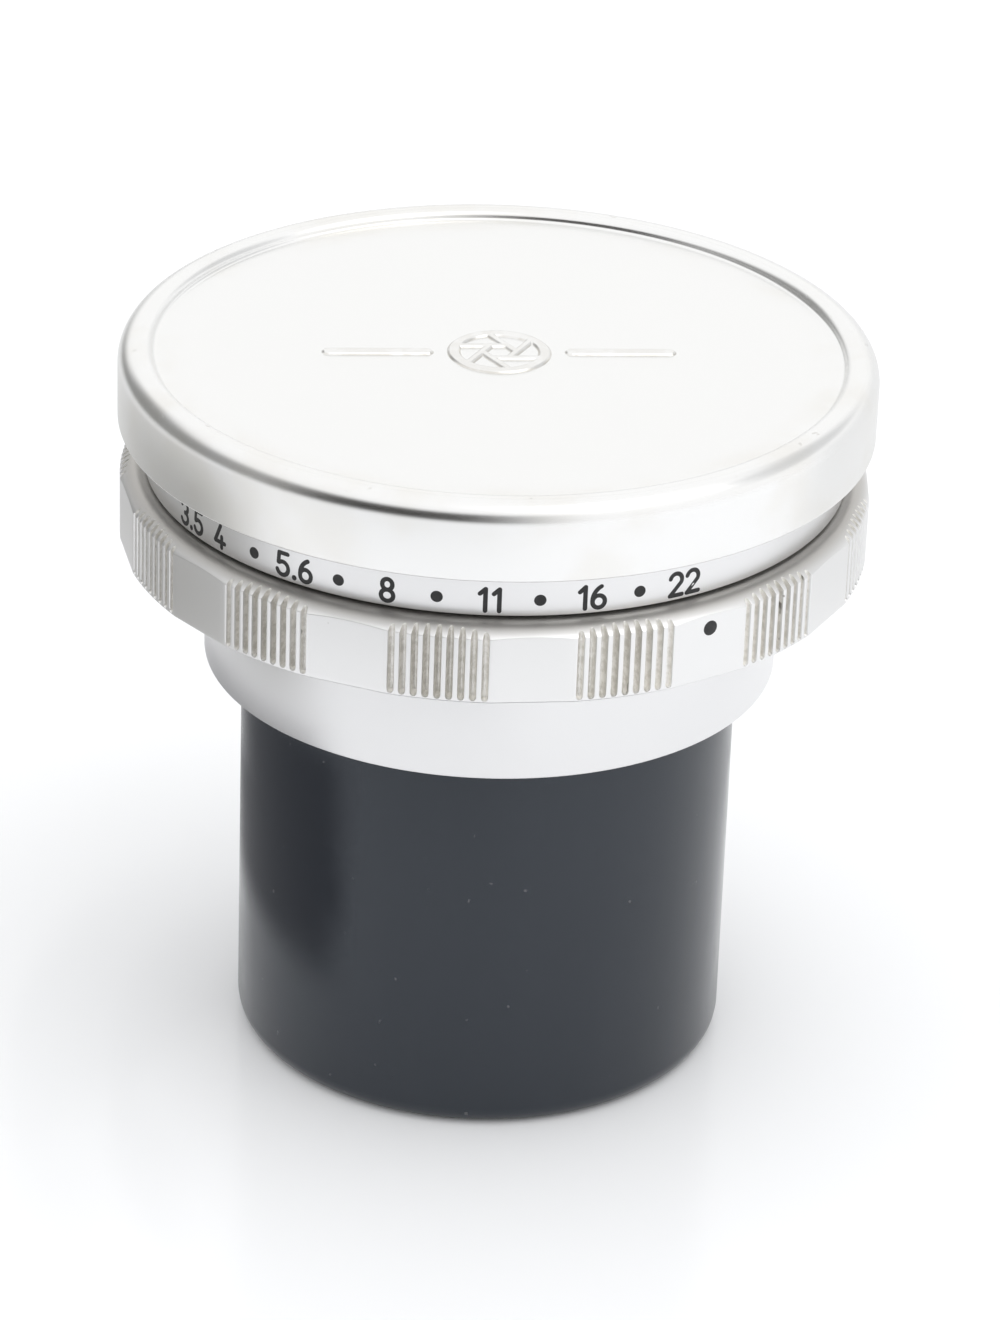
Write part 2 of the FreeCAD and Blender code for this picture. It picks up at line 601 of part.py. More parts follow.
# ---------------------------------------------------------------- front group
def build_front_group():
    keep(turned("front_cell", [
        ("middle_bore - 0.9", "front_cell_foot_z"), ("front_cell_nose", "front_cell_foot_z"),
        ("front_cell_nose", "iris_cover_top_z"), ("barrel_bore", "iris_cover_top_z"),
        ("barrel_bore", "front_cell_top_z"), ("front_bore", "front_cell_top_z"),
        ("front_bore", "front_foot_z"), ("middle_bore", "front_foot_z"),
        ("middle_bore", "middle_foot_z"), ("middle_bore - 0.9", "middle_foot_z")]), "front_cell")
    hollow_front = 34.0
    hollow_rear = 24.0
    blank = cylinder("middle_blank", "middle_bore", "middle_foot_z", "middle_top_z")
    scoop_front = ball("middle_scoop_front", f"{hollow_front}", f"middle_top_z - 0.55 + {hollow_front}")
    scoop_rear = ball("middle_scoop_rear", f"{hollow_rear}", f"middle_foot_z + 0.95 - {hollow_rear}")
    keep(cut("middle_ground", blank, joined("middle_scoops", [scoop_front, scoop_rear])),
         "middle_element")
    keep(turned("element_spacer", [
        ("middle_bore - 0.8", "middle_top_z"), ("middle_bore", "middle_top_z"),
        ("middle_bore", "front_foot_z"), ("middle_bore - 0.8", "front_foot_z")]),
        "element_spacer")
    front_curve = 30.0
    front_sag = front_curve - math.sqrt(front_curve ** 2 - VALUE["front_bore"] ** 2)
    blank = cylinder("front_blank", "front_bore", "front_foot_z", "front_edge_z + 3")
    dome = ball("front_dome", f"{front_curve}", f"front_edge_z + {front_sag:.4f} - {front_curve}")
    keep(shared("front_ground", [blank, dome]), "front_element")
    keep(turned("front_retainer", [
        ("front_bore - 0.75", "front_edge_z + 0.4"), ("front_bore", "front_edge_z"),
        ("front_bore", "front_retainer_top_z"), ("front_bore - 0.6", "front_retainer_top_z")]),
        "front_retainer")
    keep(turned("front_bezel", [
        ("front_bore", "front_cell_top_z"), ("barrel_bore", "front_cell_top_z"),
        ("barrel_bore", "neck_top_z"), ("barrel_bore - 0.7", "neck_top_z"),
        ("front_bore", "bezel_lip_z")]), "front_bezel")


# ---------------------------------------------------------------- engraved numbers
def bar(x0, y0, x1, y1, width, depth):
    """A stroke with round ends, lying in XY and cut along Z."""
    length = math.hypot(x1 - x0, y1 - y0)
    turn = FreeCAD.Rotation(FreeCAD.Vector(0, 0, 1), math.degrees(math.atan2(y1 - y0, x1 - x0)))
    slab = Part.makeBox(length, width, depth, FreeCAD.Vector(0, -width / 2, 0))
    slab.Placement = FreeCAD.Placement(FreeCAD.Vector(x0, y0, 0), turn)
    ends = []
    for x, y in ((x0, y0), (x1, y1)):
        ends.append(Part.makeCylinder(width / 2, depth, FreeCAD.Vector(x, y, 0)))
    return [slab] + ends


def bow(x, y, radius, start, sweep, width, depth):
    """A curved stroke with round ends, counter-clockwise from an angle."""
    up = FreeCAD.Vector(0, 0, 1)
    centre = FreeCAD.Vector(x, y, 0)
    outer = Part.makeCylinder(radius + width / 2, depth, centre, up, sweep)
    inner = Part.makeCylinder(radius - width / 2, depth, centre, up, 360)
    curve = outer.cut(inner)
    curve.rotate(centre, up, start)
    pieces = [curve]
    if sweep < 360:
        for angle in (start, start + sweep):
            tip = FreeCAD.Vector(math.cos(math.radians(angle)), math.sin(math.radians(angle)), 0)
            pieces.append(Part.makeCylinder(width / 2, depth, centre + tip * radius))
    return pieces


def glyph(sign, width, depth):
    """One number, one unit high, as a list of strokes, and how far it advances."""
    w, d = width, depth
    if sign == "1":
        return bar(0.30, 0.07, 0.30, 0.93, w, d) + bar(0.30, 0.93, 0.08, 0.74, w, d), 0.50
    if sign == "2":
        return (bow(0.29, 0.68, 0.25, -35, 200, w, d) + bar(0.495, 0.54, 0.06, 0.07, w, d)
                + bar(0.06, 0.07, 0.56, 0.07, w, d)), 0.70
    if sign == "3":
        return (bow(0.27, 0.71, 0.22, -90, 235, w, d) + bow(0.27, 0.28, 0.22, -145, 235, w, d)), 0.66
    if sign == "4":
        return (bar(0.36, 0.93, 0.05, 0.25, w, d) + bar(0.05, 0.25, 0.58, 0.25, w, d)
                + bar(0.44, 0.45, 0.44, 0.07, w, d)), 0.70
    if sign == "5":
        return (bar(0.50, 0.93, 0.12, 0.93, w, d) + bar(0.12, 0.93, 0.10, 0.55, w, d)
                + bow(0.29, 0.33, 0.25, -150, 290, w, d)), 0.68
    if sign == "6":
        return (bow(0.30, 0.31, 0.24, 0, 360, w, d) + bow(0.56, 0.42, 0.50, 106, 62, w, d)), 0.70
    if sign == "8":
        return (bow(0.30, 0.72, 0.20, 0, 360, w, d) + bow(0.30, 0.29, 0.23, 0, 360, w, d)), 0.70
    return [Part.makeCylinder(0.10, d, FreeCAD.Vector(0.12, 0.10, 0))], 0.32


def build_scale():
    """Numbers and half-stop dots round the fixed ring, and the ring they are engraved in."""
    tall = VALUE["numeral_height"]
    stroke = VALUE["numeral_stroke"] / tall
    reach = VALUE["scale_radius"]
    # Strokes stand on a cutting plane inside the ring and run out past its surface.
    inset = VALUE["numeral_depth"] + 0.03
    cut_depth = (inset + 0.3) / tall
    marks = []
    spacing = VALUE["stop_spacing"]
    whole_stop = VALUE["last_stop"] - 5 * spacing
    for text, offset in zip(STOPS, STOP_OFFSETS):
        pieces = []
        pen = 0.0
        for sign in text:
            strokes, advance = glyph(sign, stroke, cut_depth)
            for solid in strokes:
                solid.translate(FreeCAD.Vector(pen, 0, 0))
            pieces += strokes
            pen += advance
        azimuth = whole_stop + offset * spacing
        marks += [place_mark(solid, pen / 2, 0.5, tall, reach - inset, azimuth) for solid in pieces]
    for half in HALF_STOPS:
        dot = Part.makeCylinder(0.40 / tall, cut_depth)
        marks.append(place_mark(dot, 0, 0, tall, reach - inset, whole_stop + half * spacing))
    carved = marks[0].fuse(marks[1:]).removeSplitter()
    cutter = free_shape("number_cutter", carved)
    ring = turned("scale_ring_blank", [
        ("neck_radius", "scale_foot_z"), ("scale_radius - 0.05", "scale_foot_z"),
        ("scale_radius", "scale_foot_z + 0.05"), ("scale_radius", "scale_top_z - 0.3"),
        ("scale_radius - 0.3", "scale_top_z"), ("filter_bore + 0.4", "scale_top_z"),
        ("filter_bore", "scale_top_z - 0.4"), ("filter_bore", "filter_floor_z"),
        ("neck_radius", "filter_floor_z")])
    keep(cut("scale_ring_engraved", ring, cutter), "front_ring")
    filler = cylinder("number_filler", "scale_radius", "scale_foot_z", "scale_top_z")
    fill_cutter = free_shape("number_fill_blank", carved.copy())
    keep(shared("number_fill", [fill_cutter, filler]), "scale_numerals")


def place_mark(solid, x_middle, y_middle, scale, radius, azimuth):
    """Scale a unit mark, stand it upright and put it on the ring at an azimuth."""
    solid.translate(FreeCAD.Vector(-x_middle, -y_middle, 0))
    solid = solid.scaled(scale)
    spot = polar(radius, azimuth)
    spot.z = VALUE["numeral_z"]
    upright = FreeCAD.Rotation(FreeCAD.Vector(1, 0, 0), 90)
    around = FreeCAD.Rotation(FreeCAD.Vector(0, 0, 1), azimuth)
    solid.Placement = FreeCAD.Placement(spot, around.multiply(upright)).multiply(solid.Placement)
    return solid


# ---------------------------------------------------------------- front cap
def build_cap():
    cap = turned("cap_pressing", [
        ("0", "cap_underside_z"), ("cap_radius - cap_wall", "cap_underside_z"),
        ("cap_radius - cap_wall", "cap_foot_z"), ("cap_radius", "cap_foot_z"),
        ("cap_radius", "cap_top_z"), ("cap_rim", "cap_top_z"),
        ("cap_brow", "cap_brow_z"), ("cap_panel", "cap_panel_z"), ("0", "cap_panel_z")])
    rounded(cap, "cap_round", [("cap_radius", "cap_top_z")])
    keep(cap, "cap_shell")
    keep(turned("cap_liner", [
        ("liner_bore", "liner_foot_z"), ("cap_radius - cap_wall", "liner_foot_z"),
        ("cap_radius - cap_wall", "cap_underside_z"), ("liner_bore", "cap_underside_z")]),
        "cap_liner")
    # A plain iris rosette: a ring, six straight leaves and a bar to each side.
    high = VALUE["emblem_height"]
    leaf_inner = 1.15
    leaf_length = 3.0
    leaf_width = 0.3
    band = 0.45
    bar_start = 4.8
    bar_end = 11.5
    bar_width = 0.5
    inside = Part.makeCylinder(VALUE["emblem_radius"] - band, high)
    strokes = [Part.makeCylinder(VALUE["emblem_radius"], high).cut(inside)]
    for k in range(6):
        angle = math.radians(60 * k)
        start = FreeCAD.Vector(leaf_inner * math.cos(angle), leaf_inner * math.sin(angle), 0)
        heading = math.radians(60 * k + 120)
        end = start + FreeCAD.Vector(math.cos(heading), math.sin(heading), 0) * leaf_length
        limit = VALUE["emblem_radius"] - band / 2
        while end.Length > limit:
            end = start + (end - start) * 0.98
        strokes += bar(start.x, start.y, end.x, end.y, leaf_width, high)
    for side in (-1, 1):
        strokes += bar(side * bar_start, 0, side * bar_end, 0, bar_width, high)
    emblem = strokes[0].fuse(strokes[1:]).removeSplitter()
    emblem.translate(FreeCAD.Vector(0, 0, VALUE["cap_panel_z"]))
    keep(free_shape("cap_rosette", emblem), "cap_emblem")


# ---------------------------------------------------------------- build and write
build_keeper()
build_barrel()
build_rear_group()
build_iris()
build_driver()
build_front_group()
build_scale()
build_aperture_ring()
build_cap()
doc.recompute()

faults = [o.Label for o in doc.Objects if "Invalid" in o.State or "Error" in o.State]
faults += [n.Label for n in nodes if n.Shape.isNull() or not n.Shape.isValid()]
if faults:
    raise SystemExit("not built: " + ", ".join(faults))

os.makedirs("parts", exist_ok=True)
for node in nodes:
    node.Shape.exportStep(f"parts/{node.Label}.step")
    print(f"{node.Label:18s} {len(node.Shape.Solids):3d} solids {node.Shape.Volume:10.2f} mm3")
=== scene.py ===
"""Looks of the lens head: a slip-on cap, a knurled aperture ring and a black rear keeper.

Heights and radii are in millimetres from the centre of the keeper's foot; MM turns them into
metres. An azimuth is in degrees about +Z from -Y, positive towards +X. Angles are in degrees.
"""
import json
import math

import bmesh
import bpy
from mathutils import Matrix, Vector


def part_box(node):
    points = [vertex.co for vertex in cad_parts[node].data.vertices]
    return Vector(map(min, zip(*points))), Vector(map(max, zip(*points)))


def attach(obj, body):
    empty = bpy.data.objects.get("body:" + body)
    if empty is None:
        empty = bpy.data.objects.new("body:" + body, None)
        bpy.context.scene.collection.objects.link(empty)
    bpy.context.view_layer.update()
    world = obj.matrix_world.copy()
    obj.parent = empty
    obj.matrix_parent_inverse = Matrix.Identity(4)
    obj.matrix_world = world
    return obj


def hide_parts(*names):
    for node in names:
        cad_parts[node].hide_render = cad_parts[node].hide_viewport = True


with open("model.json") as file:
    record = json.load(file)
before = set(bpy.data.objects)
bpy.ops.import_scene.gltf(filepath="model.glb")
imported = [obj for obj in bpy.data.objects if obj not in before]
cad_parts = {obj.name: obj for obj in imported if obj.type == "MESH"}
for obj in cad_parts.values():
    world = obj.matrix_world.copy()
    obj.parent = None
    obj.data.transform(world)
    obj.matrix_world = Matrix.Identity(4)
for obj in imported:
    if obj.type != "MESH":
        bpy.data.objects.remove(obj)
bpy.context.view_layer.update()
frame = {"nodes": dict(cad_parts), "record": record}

MM = 0.001
AROUND = 288          # columns of a turned piece


# ---------------------------------------------------------------- sizes
# Outer sizes come from the nodes' boxes. The others repeat the design's, which no box gives.
def outer_radius(node):
    """A round node's outside radius in millimetres."""
    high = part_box(node)[1]
    return max(high.x, high.y) / MM


def span(node):
    """A node's lowest and highest z in millimetres."""
    low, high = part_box(node)
    return low.z / MM, high.z / MM


KEEPER_R = outer_radius("rear_keeper")
KEEPER_TOP = span("rear_keeper")[1]
BARREL_R = outer_radius("barrel")
BARREL_FOOT, NECK_TOP = span("barrel")
NECK_R = 18.9                    # neck that the aperture ring turns on
SLOT_HEIGHTS = (37.3, 38.7)      # the driving screw's slot in the neck
SLOT_AZIMUTHS = (74.3, 172.3)
SCALE_R = outer_radius("front_ring")
SCALE_FOOT, SCALE_TOP = span("front_ring")
RING_R = 25.35                   # crests of the aperture ring's knurl
RING_FOOT, RING_TOP = span("aperture_ring")
FACET_ANGLE = 12.1               # width of a plain facet of the aperture ring
INDEX_AZIMUTH = 29.85            # middle of the facet with the index dot
FLUTE_HALF = 0.53                # half of a flute's mouth, as a share of half its pitch
CAP_R = outer_radius("cap_shell")
CAP_FOOT, CAP_TOP = span("cap_shell")
PANEL_Z = CAP_TOP - 0.7          # flat panel inside the cap's bead


# ---------------------------------------------------------------- mesh helpers
def add_object(name, mesh, body=None, slot=None, replaces=()):
    """Link a mesh as a piece, with the body it rides on, and hide the nodes it replaces; its slot
    argument is not used.
    """
    piece = bpy.data.objects.new(name, mesh)
    bpy.context.scene.collection.objects.link(piece)
    if body:
        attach(piece, body)
    if replaces:
        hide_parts(*replaces)
    return piece


def polar(radius, azimuth, z):
    """A point in metres from a radius and height in millimetres and an azimuth in degrees."""
    angle = math.radians(azimuth)
    return Vector((radius * math.sin(angle), -radius * math.cos(angle), z)) * MM


def soften(corners, steps=5):
    """A closed outline of (radius, z, rounding) corners as (radius, z) points with arcs.

    An arc never takes more than about half of a side, so that two of them fit on it.
    """
    longest = 0.49
    points = []
    count = len(corners)
    for i, (r, z, rounding) in enumerate(corners):
        here = Vector((r, z))
        if rounding <= 0:
            points.append((r, z))
            continue
        before = Vector(corners[i - 1][:2]) - here
        after = Vector(corners[(i + 1) % count][:2]) - here
        half = before.angle(after) / 2
        reach = min(rounding / math.tan(half), before.length * longest, after.length * longest)
        radius = reach * math.tan(half)
        before.normalize()
        after.normalize()
        middle = here + (before + after).normalized() * (radius / math.sin(half))
        start = here + before * reach - middle
        end = here + after * reach - middle
        turn = start.angle_signed(end)
        for k in range(steps + 1):
            spin = Matrix.Rotation(-turn * k / steps, 2)
            points.append(tuple(middle + spin @ start))
    return points


def lathe(name, corners, **placing):
    """A piece turned about Z from a closed outline; corners on the axis close to a point."""
    on_axis = 1e-6
    bm = bmesh.new()
    rings = []
    for r, z in soften(corners):
        if r < on_axis:
            rings.append([bm.verts.new((0, 0, z * MM))])
        else:
            rings.append([bm.verts.new(polar(r, 360 * k / AROUND, z)) for k in range(AROUND)])
    for a, b in zip(rings, rings[1:] + rings[:1]):
        for k in range(AROUND):
            n = (k + 1) % AROUND
            corner = [a[k % len(a)], a[n % len(a)], b[n % len(b)], b[k % len(b)]]
            loop = [v for i, v in enumerate(corner) if v is not corner[i - 1]]
            if len(set(loop)) >= 3:
                bm.faces.new(loop)
    return finish_mesh(name, bm, **placing)


def finish_mesh(name, bm, crease=32.0, **placing):
    """Turn the faces outwards, shade smooth except across creases, and place the piece."""
    same_spot = 1e-7
    bmesh.ops.remove_doubles(bm, verts=bm.verts, dist=same_spot)
    bmesh.ops.recalc_face_normals(bm, faces=bm.faces)
    for face in bm.faces:
        face.smooth = True
    limit = math.radians(crease)
    for edge in bm.edges:
        if len(edge.link_faces) == 2 and edge.calc_face_angle() > limit:
            edge.smooth = False
    mesh = bpy.data.meshes.new(name)
    bm.to_mesh(mesh)
    bm.free()
    return add_object(name, mesh, **placing)


# ---------------------------------------------------------------- pieces
def build_keeper():
    """The black screw-on rear keeper, a plain cup with an inside thread at its mouth."""
    mouth, ledge, crest, root = 15.8, 25.2, 15.0, 15.3
    thread_top, pitch, turns, thread_end = 24.6, 1.0, 5, 19.2
    inner, floor = 15.4, 1.6
    return lathe("keeper_tube", [
        (0, 0, 0), (KEEPER_R, 0, 1.4), (KEEPER_R, KEEPER_TOP, 0.25), (mouth, KEEPER_TOP, 0.1),
        (mouth, ledge, 0), (crest, ledge, 0.1)] + thread(crest, root, thread_top, -pitch, turns) + [
        (inner, thread_end, 0.1), (inner, floor, 1.0), (0, floor, 0)],
        body="keeper", slot="keeper_black", replaces=["rear_keeper"])


def thread(crest, root, start, pitch, turns):
    """Corners of a run of thread grooves along the outline, from a height in steps of pitch."""
    corners = []
    for k in range(turns):
        z = start + pitch * k
        corners += [(crest, z, 0), (crest, z + 0.30 * pitch, 0),
                    (root, z + 0.55 * pitch, 0), (root, z + 0.75 * pitch, 0)]
    return corners


def build_barrel():
    """The plain barrel and its neck, with the slot that the driving screw travels in."""
    hole, bore, floor, shoulder = 15.2, 17.3, 30.0, 36.95
    clearance = 0.02      # keeps the foot off the keeper's rim
    foot = BARREL_FOOT + clearance
    slot_low, slot_high = SLOT_HEIGHTS
    piece = lathe("barrel_skin", [
        (hole, foot, 0.1), (BARREL_R, foot, 0.12), (BARREL_R, shoulder, 0.1),
        (NECK_R, shoulder, 0), (NECK_R, slot_low, 0), (NECK_R, slot_high, 0),
        (NECK_R, NECK_TOP, 0.1), (bore, NECK_TOP, 0.1),
        (bore, slot_high, 0), (bore, slot_low, 0), (bore, floor, 0), (hole, floor, 0)],
        body="head", slot="satin_alloy", replaces=["barrel"])
    open_slot(piece)
    return piece


def open_slot(piece):
    """Cut the driving screw's slot through the neck and wall its sides."""
    slot_low, slot_high = SLOT_HEIGHTS
    bm = bmesh.new()
    bm.from_mesh(piece.data)
    gone = []
    for face in bm.faces:
        middle = face.calc_center_median() / MM
        azimuth = math.degrees(math.atan2(middle.x, -middle.y))
        if slot_low < middle.z < slot_high and SLOT_AZIMUTHS[0] < azimuth < SLOT_AZIMUTHS[1]:
            gone.append(face)
    bmesh.ops.delete(bm, geom=gone, context="FACES")
    rim = [edge for edge in bm.edges if edge.is_boundary]
    for edge in rim:
        edge.smooth = False
    bmesh.ops.bridge_loops(bm, edges=rim)
    bmesh.ops.recalc_face_normals(bm, faces=bm.faces)
    bm.to_mesh(piece.data)
    bm.free()


def build_number_ring():
    """The ring that carries the numbers, with an inside filter thread at its mouth."""
    crest, root, thread_top, pitch, turns = 20.5, 20.75, 48.3, 0.75, 3
    floor = 45.2
    narrowing = 0.14      # closes part of the gap over the aperture ring
    foot = SCALE_FOOT - narrowing
    return lathe("number_ring", [
        (NECK_R, foot, 0.05), (SCALE_R, foot, 0.06), (SCALE_R, SCALE_TOP, 0.3),
        (crest, SCALE_TOP, 0.35)] + thread(crest, root, thread_top, -pitch, turns) + [
        (crest, floor, 0.05), (NECK_R, floor, 0.05)],
        body="head", slot="satin_alloy", replaces=["front_ring"])


def knurl_columns():
    """The ring's columns, facet by facet and groove by groove, once round.

    Each is its azimuth, crest radius, groove depth and place in its groove (0 middle, 1 crest).
    """
    panels, facet_steps = 13, 12
    grooves, deepest, shallowest = 9, 0.70, 0.30
    # Places across half a groove, close together where its wall turns over to the crest.
    places = [0.0, 0.16, 0.30, 0.41, 0.48, 0.51, 0.535, 0.57, 0.62, 0.80]
    across_groove = [-place for place in places[:0:-1]] + places
    pitch = 360 / panels
    stretch = pitch - FACET_ANGLE
    half = math.radians(FACET_ANGLE / 2)
    columns = []
    for panel in range(panels):
        start = INDEX_AZIMUTH - FACET_ANGLE / 2 + panel * pitch
        for i in range(facet_steps + 1):
            along = FACET_ANGLE * i / facet_steps
            chord = RING_R * math.cos(half) / math.cos(math.radians(along) - half)
            columns.append((start + along, chord, 0.0, 1.0))
        for groove in range(grooves):
            crest = [1.0] if groove < grooves - 1 else []
            for place in across_groove + crest:
                at = groove + 0.5 + place / 2
                across = 2 * at / grooves - 1
                depth = shallowest + (deepest - shallowest) * (1 - across * across)
                azimuth = start + FACET_ANGLE + stretch * at / grooves
                columns.append((azimuth, RING_R, depth * groove_profile(abs(place)), abs(place)))
    return columns


def groove_profile(place):
    """Depth share across half a groove: a flat-bottomed flute with softly turned-over edges."""
    turn_over, end, squareness = 0.51, 0.66, 2.4
    if place < turn_over:
        return (1 - (place / FLUTE_HALF) ** squareness) ** (1 / squareness)
    edge_share = (1 - (turn_over / FLUTE_HALF) ** squareness) ** (1 / squareness)
    fade = min((place - turn_over) / (end - turn_over), 1.0)
    return edge_share * (1 - fade) ** 2


def crown_z(radius):
    """Height of the ring's rounded crown at a radius."""
    crown, bevel, roundness = 24.15, 0.75, 1.75
    share = max(radius - crown, 0.0) / (RING_R - crown)
    return RING_TOP - bevel * share ** roundness


def build_aperture_ring():
    """The knurled ring; its "groove" attribute is a point's depth in a flute, in millimetres."""
    bore, inner, edge, lip = 18.95, 24.0, 0.10, 0.14
    flute_half, run_out, crown_steps = 0.19, 0.35, 7
    bm = bmesh.new()
    groove = bm.verts.layers.float.new("groove")
    columns = []
    for azimuth, flat_r, depth, place in knurl_columns():
        r = flat_r - depth
        shoulder = crown_z(r)
        crown = [r - (r - inner) * k / crown_steps for k in range(1, crown_steps + 1)]
        # A flute's lower end is a half circle that stops short of the ring's lower edge.
        inside = min(place / FLUTE_HALF, 1.0)
        end_z = RING_FOOT + lip + flute_half * (1 - math.sqrt(1 - inside * inside))
        outline = soften([
            (bore, RING_FOOT, 0.1), (flat_r - edge, RING_FOOT, 0.03), (flat_r, RING_FOOT + edge, 0.05),
            (flat_r, end_z, 0), (r, end_z + depth * run_out, 0),
            (r, shoulder, 0.05)] + [(radius, crown_z(radius), 0) for radius in crown] + [
            (bore, RING_TOP, 0.1)], steps=3)
        column = []
        for radius, z in outline:
            vert = bm.verts.new(polar(radius, azimuth, z))
            vert[groove] = max(0.0, flat_r - radius) if RING_FOOT + edge < z < shoulder else 0.0
            column.append(vert)
        columns.append(column)
    for a, b in zip(columns, columns[1:] + columns[:1]):
        for i in range(len(a)):
            n = (i + 1) % len(a)
            bm.faces.new([a[i], b[i], b[n], a[n]])
    return finish_mesh("aperture_grip", bm, crease=50.0, body="ring", slot="ring_alloy",
                       replaces=["aperture_ring"])


def build_index_dot():
    """The ring's index, a filled dot on its facet."""
    centre_z, radius, around = 40.72, 0.52, 40
    facet = RING_R * math.cos(math.radians(FACET_ANGLE / 2))
    out = polar(1, INDEX_AZIMUTH, 0).normalized()
    side = Vector((-out.y, out.x, 0))
    bm = bmesh.new()
    rows = []
    # How far each row of its rim stands off the facet, and its size: root, edge and face.
    for proud, size in ((-0.05, 1.0), (0.002, 1.0), (0.006, 0.96)):
        row = []
        for k in range(around):
            angle = 2 * math.pi * k / around
            spot = out * (facet + proud) + side * radius * size * math.cos(angle)
            spot.z += centre_z + radius * size * math.sin(angle)
            row.append(bm.verts.new(spot * MM))
        rows.append(row)
    for a, b in zip(rows, rows[1:]):
        for k in range(around):
            n = (k + 1) % around
            bm.faces.new([a[k], a[n], b[n], b[k]])
    bm.faces.new(rows[0])
    bm.faces.new(rows[-1])
    return finish_mesh("index_mark", bm, body="ring", slot="enamel", replaces=["index_dot"])


# ---------------------------------------------------------------- engraved numbers
def arc(x, y, rx, ry, start, sweep, steps=22):
    """Points of an elliptical stroke from a start angle; a positive sweep goes left round."""
    angles = [math.radians(start + sweep * k / steps) for k in range(steps + 1)]
    return [(x + rx * math.cos(a), y + ry * math.sin(a)) for a in angles]


# Each sign is one unit high: its strokes, each with whether it is a loop, and its advance.
SIGNS = {
    "1": ([(False, [(0.10, 0.74), (0.30, 0.93), (0.30, 0.07)])], 0.50),
    "2": ([(False, arc(0.31, 0.68, 0.24, 0.25, 165, -195) + [(0.07, 0.07), (0.57, 0.07)])], 0.70),
    "3": ([(False, arc(0.28, 0.71, 0.22, 0.22, 160, -245, 24)
            + arc(0.28, 0.29, 0.24, 0.22, 85, -245, 24))], 0.66),
    "4": ([(False, [(0.36, 0.93), (0.06, 0.27), (0.60, 0.27)]),
           (False, [(0.43, 0.50), (0.43, 0.07)])], 0.70),
    "5": ([(False, [(0.52, 0.93), (0.14, 0.93), (0.11, 0.53)]
            + arc(0.30, 0.33, 0.25, 0.26, 128, -290))], 0.70),
    "6": ([(True, arc(0.30, 0.31, 0.23, 0.24, 0, 360, 36)[:-1]),
           (False, arc(0.62, 0.36, 0.55, 0.60, 185, -70))], 0.68),
    "8": ([(True, arc(0.30, 0.72, 0.19, 0.21, 0, 360, 32)[:-1]),
           (True, arc(0.30, 0.29, 0.23, 0.22, 0, 360, 32)[:-1])], 0.68),
    ".": ([(True, None)], 0.30),       # a disc, not a stroke
}
NUMBER_HEIGHT, NUMBER_Z, STROKE = 1.79, 43.59, 0.305
# Each number and its place along the scale, in full stops from the 4.
STOPS = {"3.5": -0.481, "4": 0.01, "5.6": 1.01, "8": 2.02, "11": 3.025, "16": 4.02, "22": 5}
CAP_TURNS = (60, 30, 0, -30, -60)      # points of a stroke's round end, in degrees


def ribbon(points, closed, width, depth):
    """A flat solid that follows points in XY: a loop, or a stroke with round ends."""
    spine = [Vector(p) for p in points]
    if closed:
        return closed_ribbon(spine, width, depth)
    return open_ribbon(spine, width, depth)


def closed_ribbon(spine, width, depth):
    """A flat loop, with an outer and an inner outline half a width from its spine."""
    bm = bmesh.new()
    count = len(spine)
    outline = []
    for side in (1, -1):
        loop = []
        for i, p in enumerate(spine):
            along = (spine[(i + 1) % count] - spine[i - 1]).normalized()
            loop.append(p + Vector((along.y, -along.x)) * width / 2 * side)
        outline.append(loop)
    rings = [[bm.verts.new((p.x, p.y, z)) for p in loop] for loop in outline for z in (0, depth)]
    low_out, high_out, low_in, high_in = rings
    for k in range(count):
        n = (k + 1) % count
        bm.faces.new([low_out[k], low_out[n], high_out[n], high_out[k]])
        bm.faces.new([low_in[n], low_in[k], high_in[k], high_in[n]])
        bm.faces.new([high_out[k], high_out[n], high_in[n], high_in[k]])
        bm.faces.new([low_out[n], low_out[k], low_in[k], low_in[n]])
    return bm


def open_ribbon(spine, width, depth):
    """A flat stroke: its left side, a round end, its right side and a round end again."""
    sharpest = 0.5        # limits how far a bend's corner reaches out
    bm = bmesh.new()
    count = len(spine)
    left, right = [], []
    for i, p in enumerate(spine):
        before = (p - spine[i - 1]).normalized() if i else (spine[1] - p).normalized()
        after = (spine[i + 1] - p).normalized() if i < count - 1 else before
        along = (before + after).normalized()
        across = Vector((-along.y, along.x))
        reach = width / 2 / max(sharpest, across.dot(Vector((-before.y, before.x))))
        left.append(p + across * reach)
        right.append(p - across * reach)
    caps = []
    for p, away in ((spine[-1], spine[-1] - spine[-2]), (spine[0], spine[0] - spine[1])):
        facing = math.atan2(away.y, away.x)
        angles = [facing + math.radians(turn) for turn in CAP_TURNS]
        caps.append([p + Vector((math.cos(a), math.sin(a))) * width / 2 for a in angles])
    loop = left + caps[0] + right[::-1] + caps[1]
    low = [bm.verts.new((p.x, p.y, 0)) for p in loop]
    high = [bm.verts.new((p.x, p.y, depth)) for p in loop]
    size = len(loop)
    for k in range(size):
        n = (k + 1) % size
        bm.faces.new([low[k], low[n], high[n], high[k]])
    turns = len(CAP_TURNS)
    start = size - turns - 1      # the right side's point at the stroke's start
    for rows, flip in ((high, False), (low, True)):
        quads = [[rows[i], rows[i + 1], rows[start - i - 1], rows[start - i]]
                 for i in range(count - 1)]
        ends = [rows[count - 1:count + turns + 1], rows[start:] + [rows[0]]]
        for face in quads + ends:
            bm.faces.new(face[::-1] if flip else face)
    return bm


def smooth_runs(points, sharp=50.0):
    """Cut an open stroke at its sharp corners, so that each run bends gently."""
    runs = [[points[0]]]
    for i in range(1, len(points)):
        runs[-1].append(points[i])
        if i < len(points) - 1:
            before = Vector(points[i]) - Vector(points[i - 1])
            after = Vector(points[i + 1]) - Vector(points[i])
            if before.angle(after) > math.radians(sharp):
                runs.append([points[i]])
    return runs


